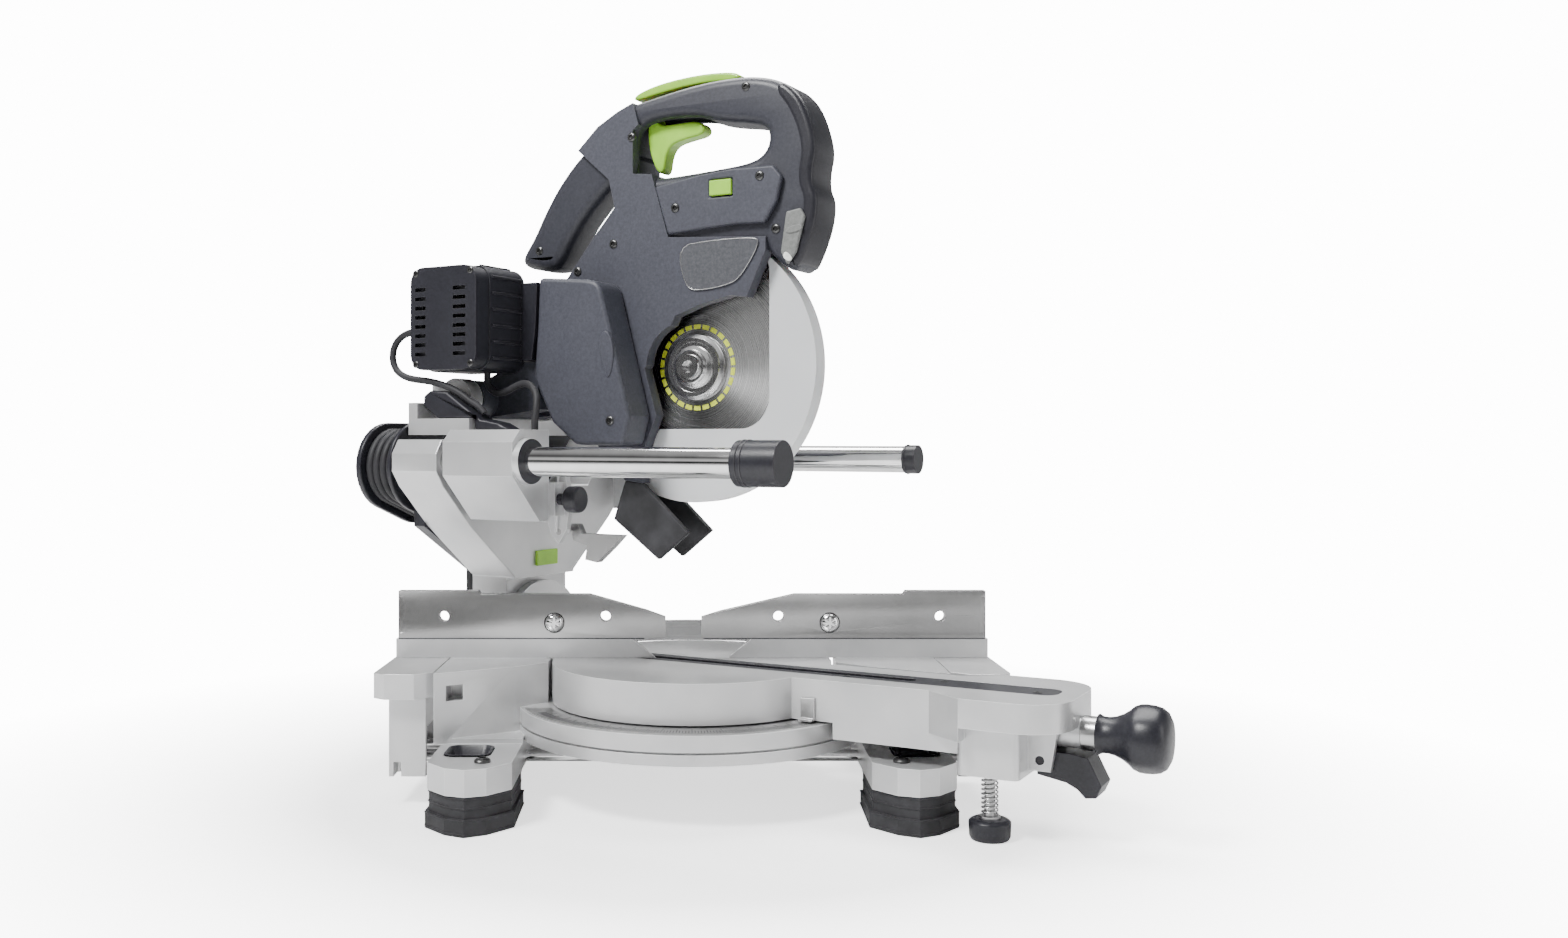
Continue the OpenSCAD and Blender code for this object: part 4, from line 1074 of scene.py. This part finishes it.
def glow_for_camera(tree, lit, output):
    """Paper white where the camera looks straight at it, and lit for all other rays."""
    path = add(tree, "ShaderNodeLightPath")
    choose = add(tree, "ShaderNodeMixShader")
    seen = add(tree, "ShaderNodeEmission", Strength=PAPER)
    tree.links.new(path.outputs["Is Camera Ray"], choose.inputs[0])
    tree.links.new(lit, choose.inputs[1])
    tree.links.new(seen.outputs[0], choose.inputs[2])
    tree.links.new(choose.outputs[0], output)


def make_floor():
    """A wide pale floor that fades into the white of the backdrop."""
    mesh = bpy.data.meshes.new("floor")
    work = bmesh.new()
    bmesh.ops.create_circle(work, cap_ends=True, segments=96, radius=30)
    work.to_mesh(mesh)
    work.free()
    floor = bpy.data.objects.new("floor", mesh)
    bpy.context.scene.collection.objects.link(floor)
    mat, tree, shader = material("floor", (0.9, 0.9, 0.9), 0.5)
    gradient = add(tree, "ShaderNodeTexGradient", gradient_type="SPHERICAL")
    tree.links.new(coordinates(tree, (1.25, 1.25, 1.25)), gradient.inputs["Vector"])
    fade = ramp(tree, gradient.outputs["Fac"], [(0.0, 0), (0.62, 1)])
    near = add(tree, "ShaderNodeAddShader")
    lift = add(tree, "ShaderNodeEmission")
    seen = add(tree, "ShaderNodeLightPath")
    share = add(tree, "ShaderNodeMath", operation="MULTIPLY")
    share.inputs[1].default_value = FLOOR_LIFT
    tree.links.new(seen.outputs["Is Camera Ray"], share.inputs[0])
    tree.links.new(share.outputs[0], lift.inputs["Strength"])
    tree.links.new(shader.outputs[0], near.inputs[0])
    tree.links.new(lift.outputs[0], near.inputs[1])
    blend = add(tree, "ShaderNodeMixShader")
    glow_for_camera(tree, shader.outputs[0], blend.inputs[1])
    tree.links.new(fade, blend.inputs[0])
    tree.links.new(near.outputs[0], blend.inputs[2])
    tree.links.new(blend.outputs[0], tree.nodes["Material Output"].inputs["Surface"])
    paint(floor, mat)


def make_world():
    """A studio to reflect: pale overhead, with dark flags that draw bands on metal."""
    world = bpy.data.worlds.new("studio")
    bpy.context.scene.world = world
    world.use_nodes = True
    tree = world.node_tree
    source = add(tree, "ShaderNodeTexCoord")
    split = add(tree, "ShaderNodeSeparateXYZ")
    tree.links.new(source.outputs["Generated"], split.inputs[0])
    height = add(tree, "ShaderNodeMapRange")
    height.inputs["From Min"].default_value = -1
    tree.links.new(split.outputs["Z"], height.inputs["Value"])
    front = ramp(tree, height.outputs["Result"],
                 [(0.46, 0.30), (0.51, 0.03), (0.57, 0.03), (0.63, 0.75), (0.70, 0.6),
                  (0.78, 0.04), (0.87, 0.2), (1.0, 0.6)])
    behind = ramp(tree, height.outputs["Result"],
                  [(0.46, 0.5), (0.50, 0.9), (0.60, 0.8), (0.68, 0.22), (0.80, 0.08),
                   (1.0, 0.7)])
    side = add(tree, "ShaderNodeMapRange", interpolation_type="SMOOTHSTEP")
    side.inputs["From Min"].default_value = -0.5
    side.inputs["From Max"].default_value = 0.4
    tree.links.new(split.outputs["Y"], side.inputs["Value"])
    room = add(tree, "ShaderNodeMix", data_type="RGBA")
    tree.links.new(side.outputs["Result"], room.inputs[0])
    tree.links.new(front, room.inputs["A"])
    tree.links.new(behind, room.inputs["B"])
    reflected = tree.nodes["Background"]
    tree.links.new(room.outputs["Result"], reflected.inputs["Color"])
    glow_for_camera(tree, reflected.outputs[0],
                    tree.nodes["World Output"].inputs["Surface"])


def area_light(name, where, aim, size, watts):
    """A soft rectangular light at a point, turned towards its aim."""
    data = bpy.data.lights.new(name, "AREA")
    data.shape = "RECTANGLE"
    data.size, data.size_y = size
    data.energy = watts
    light = bpy.data.objects.new(name, data)
    light.location = where
    light.rotation_euler = (Vector(aim) - Vector(where)).to_track_quat("-Z", "Y").to_euler()
    bpy.context.scene.collection.objects.link(light)


make_floor()
make_world()
area_light("key", (-1.0, -1.0, 1.9), (0, 0, 0.25), (0.6, 0.5), 80)
area_light("fill", (1.8, -0.9, 0.7), (0, 0, 0.25), (0.5, 1.3), 8)
area_light("top", (0.2, 0.5, 1.7), (0, 0, 0.2), (1.6, 0.6), 46)
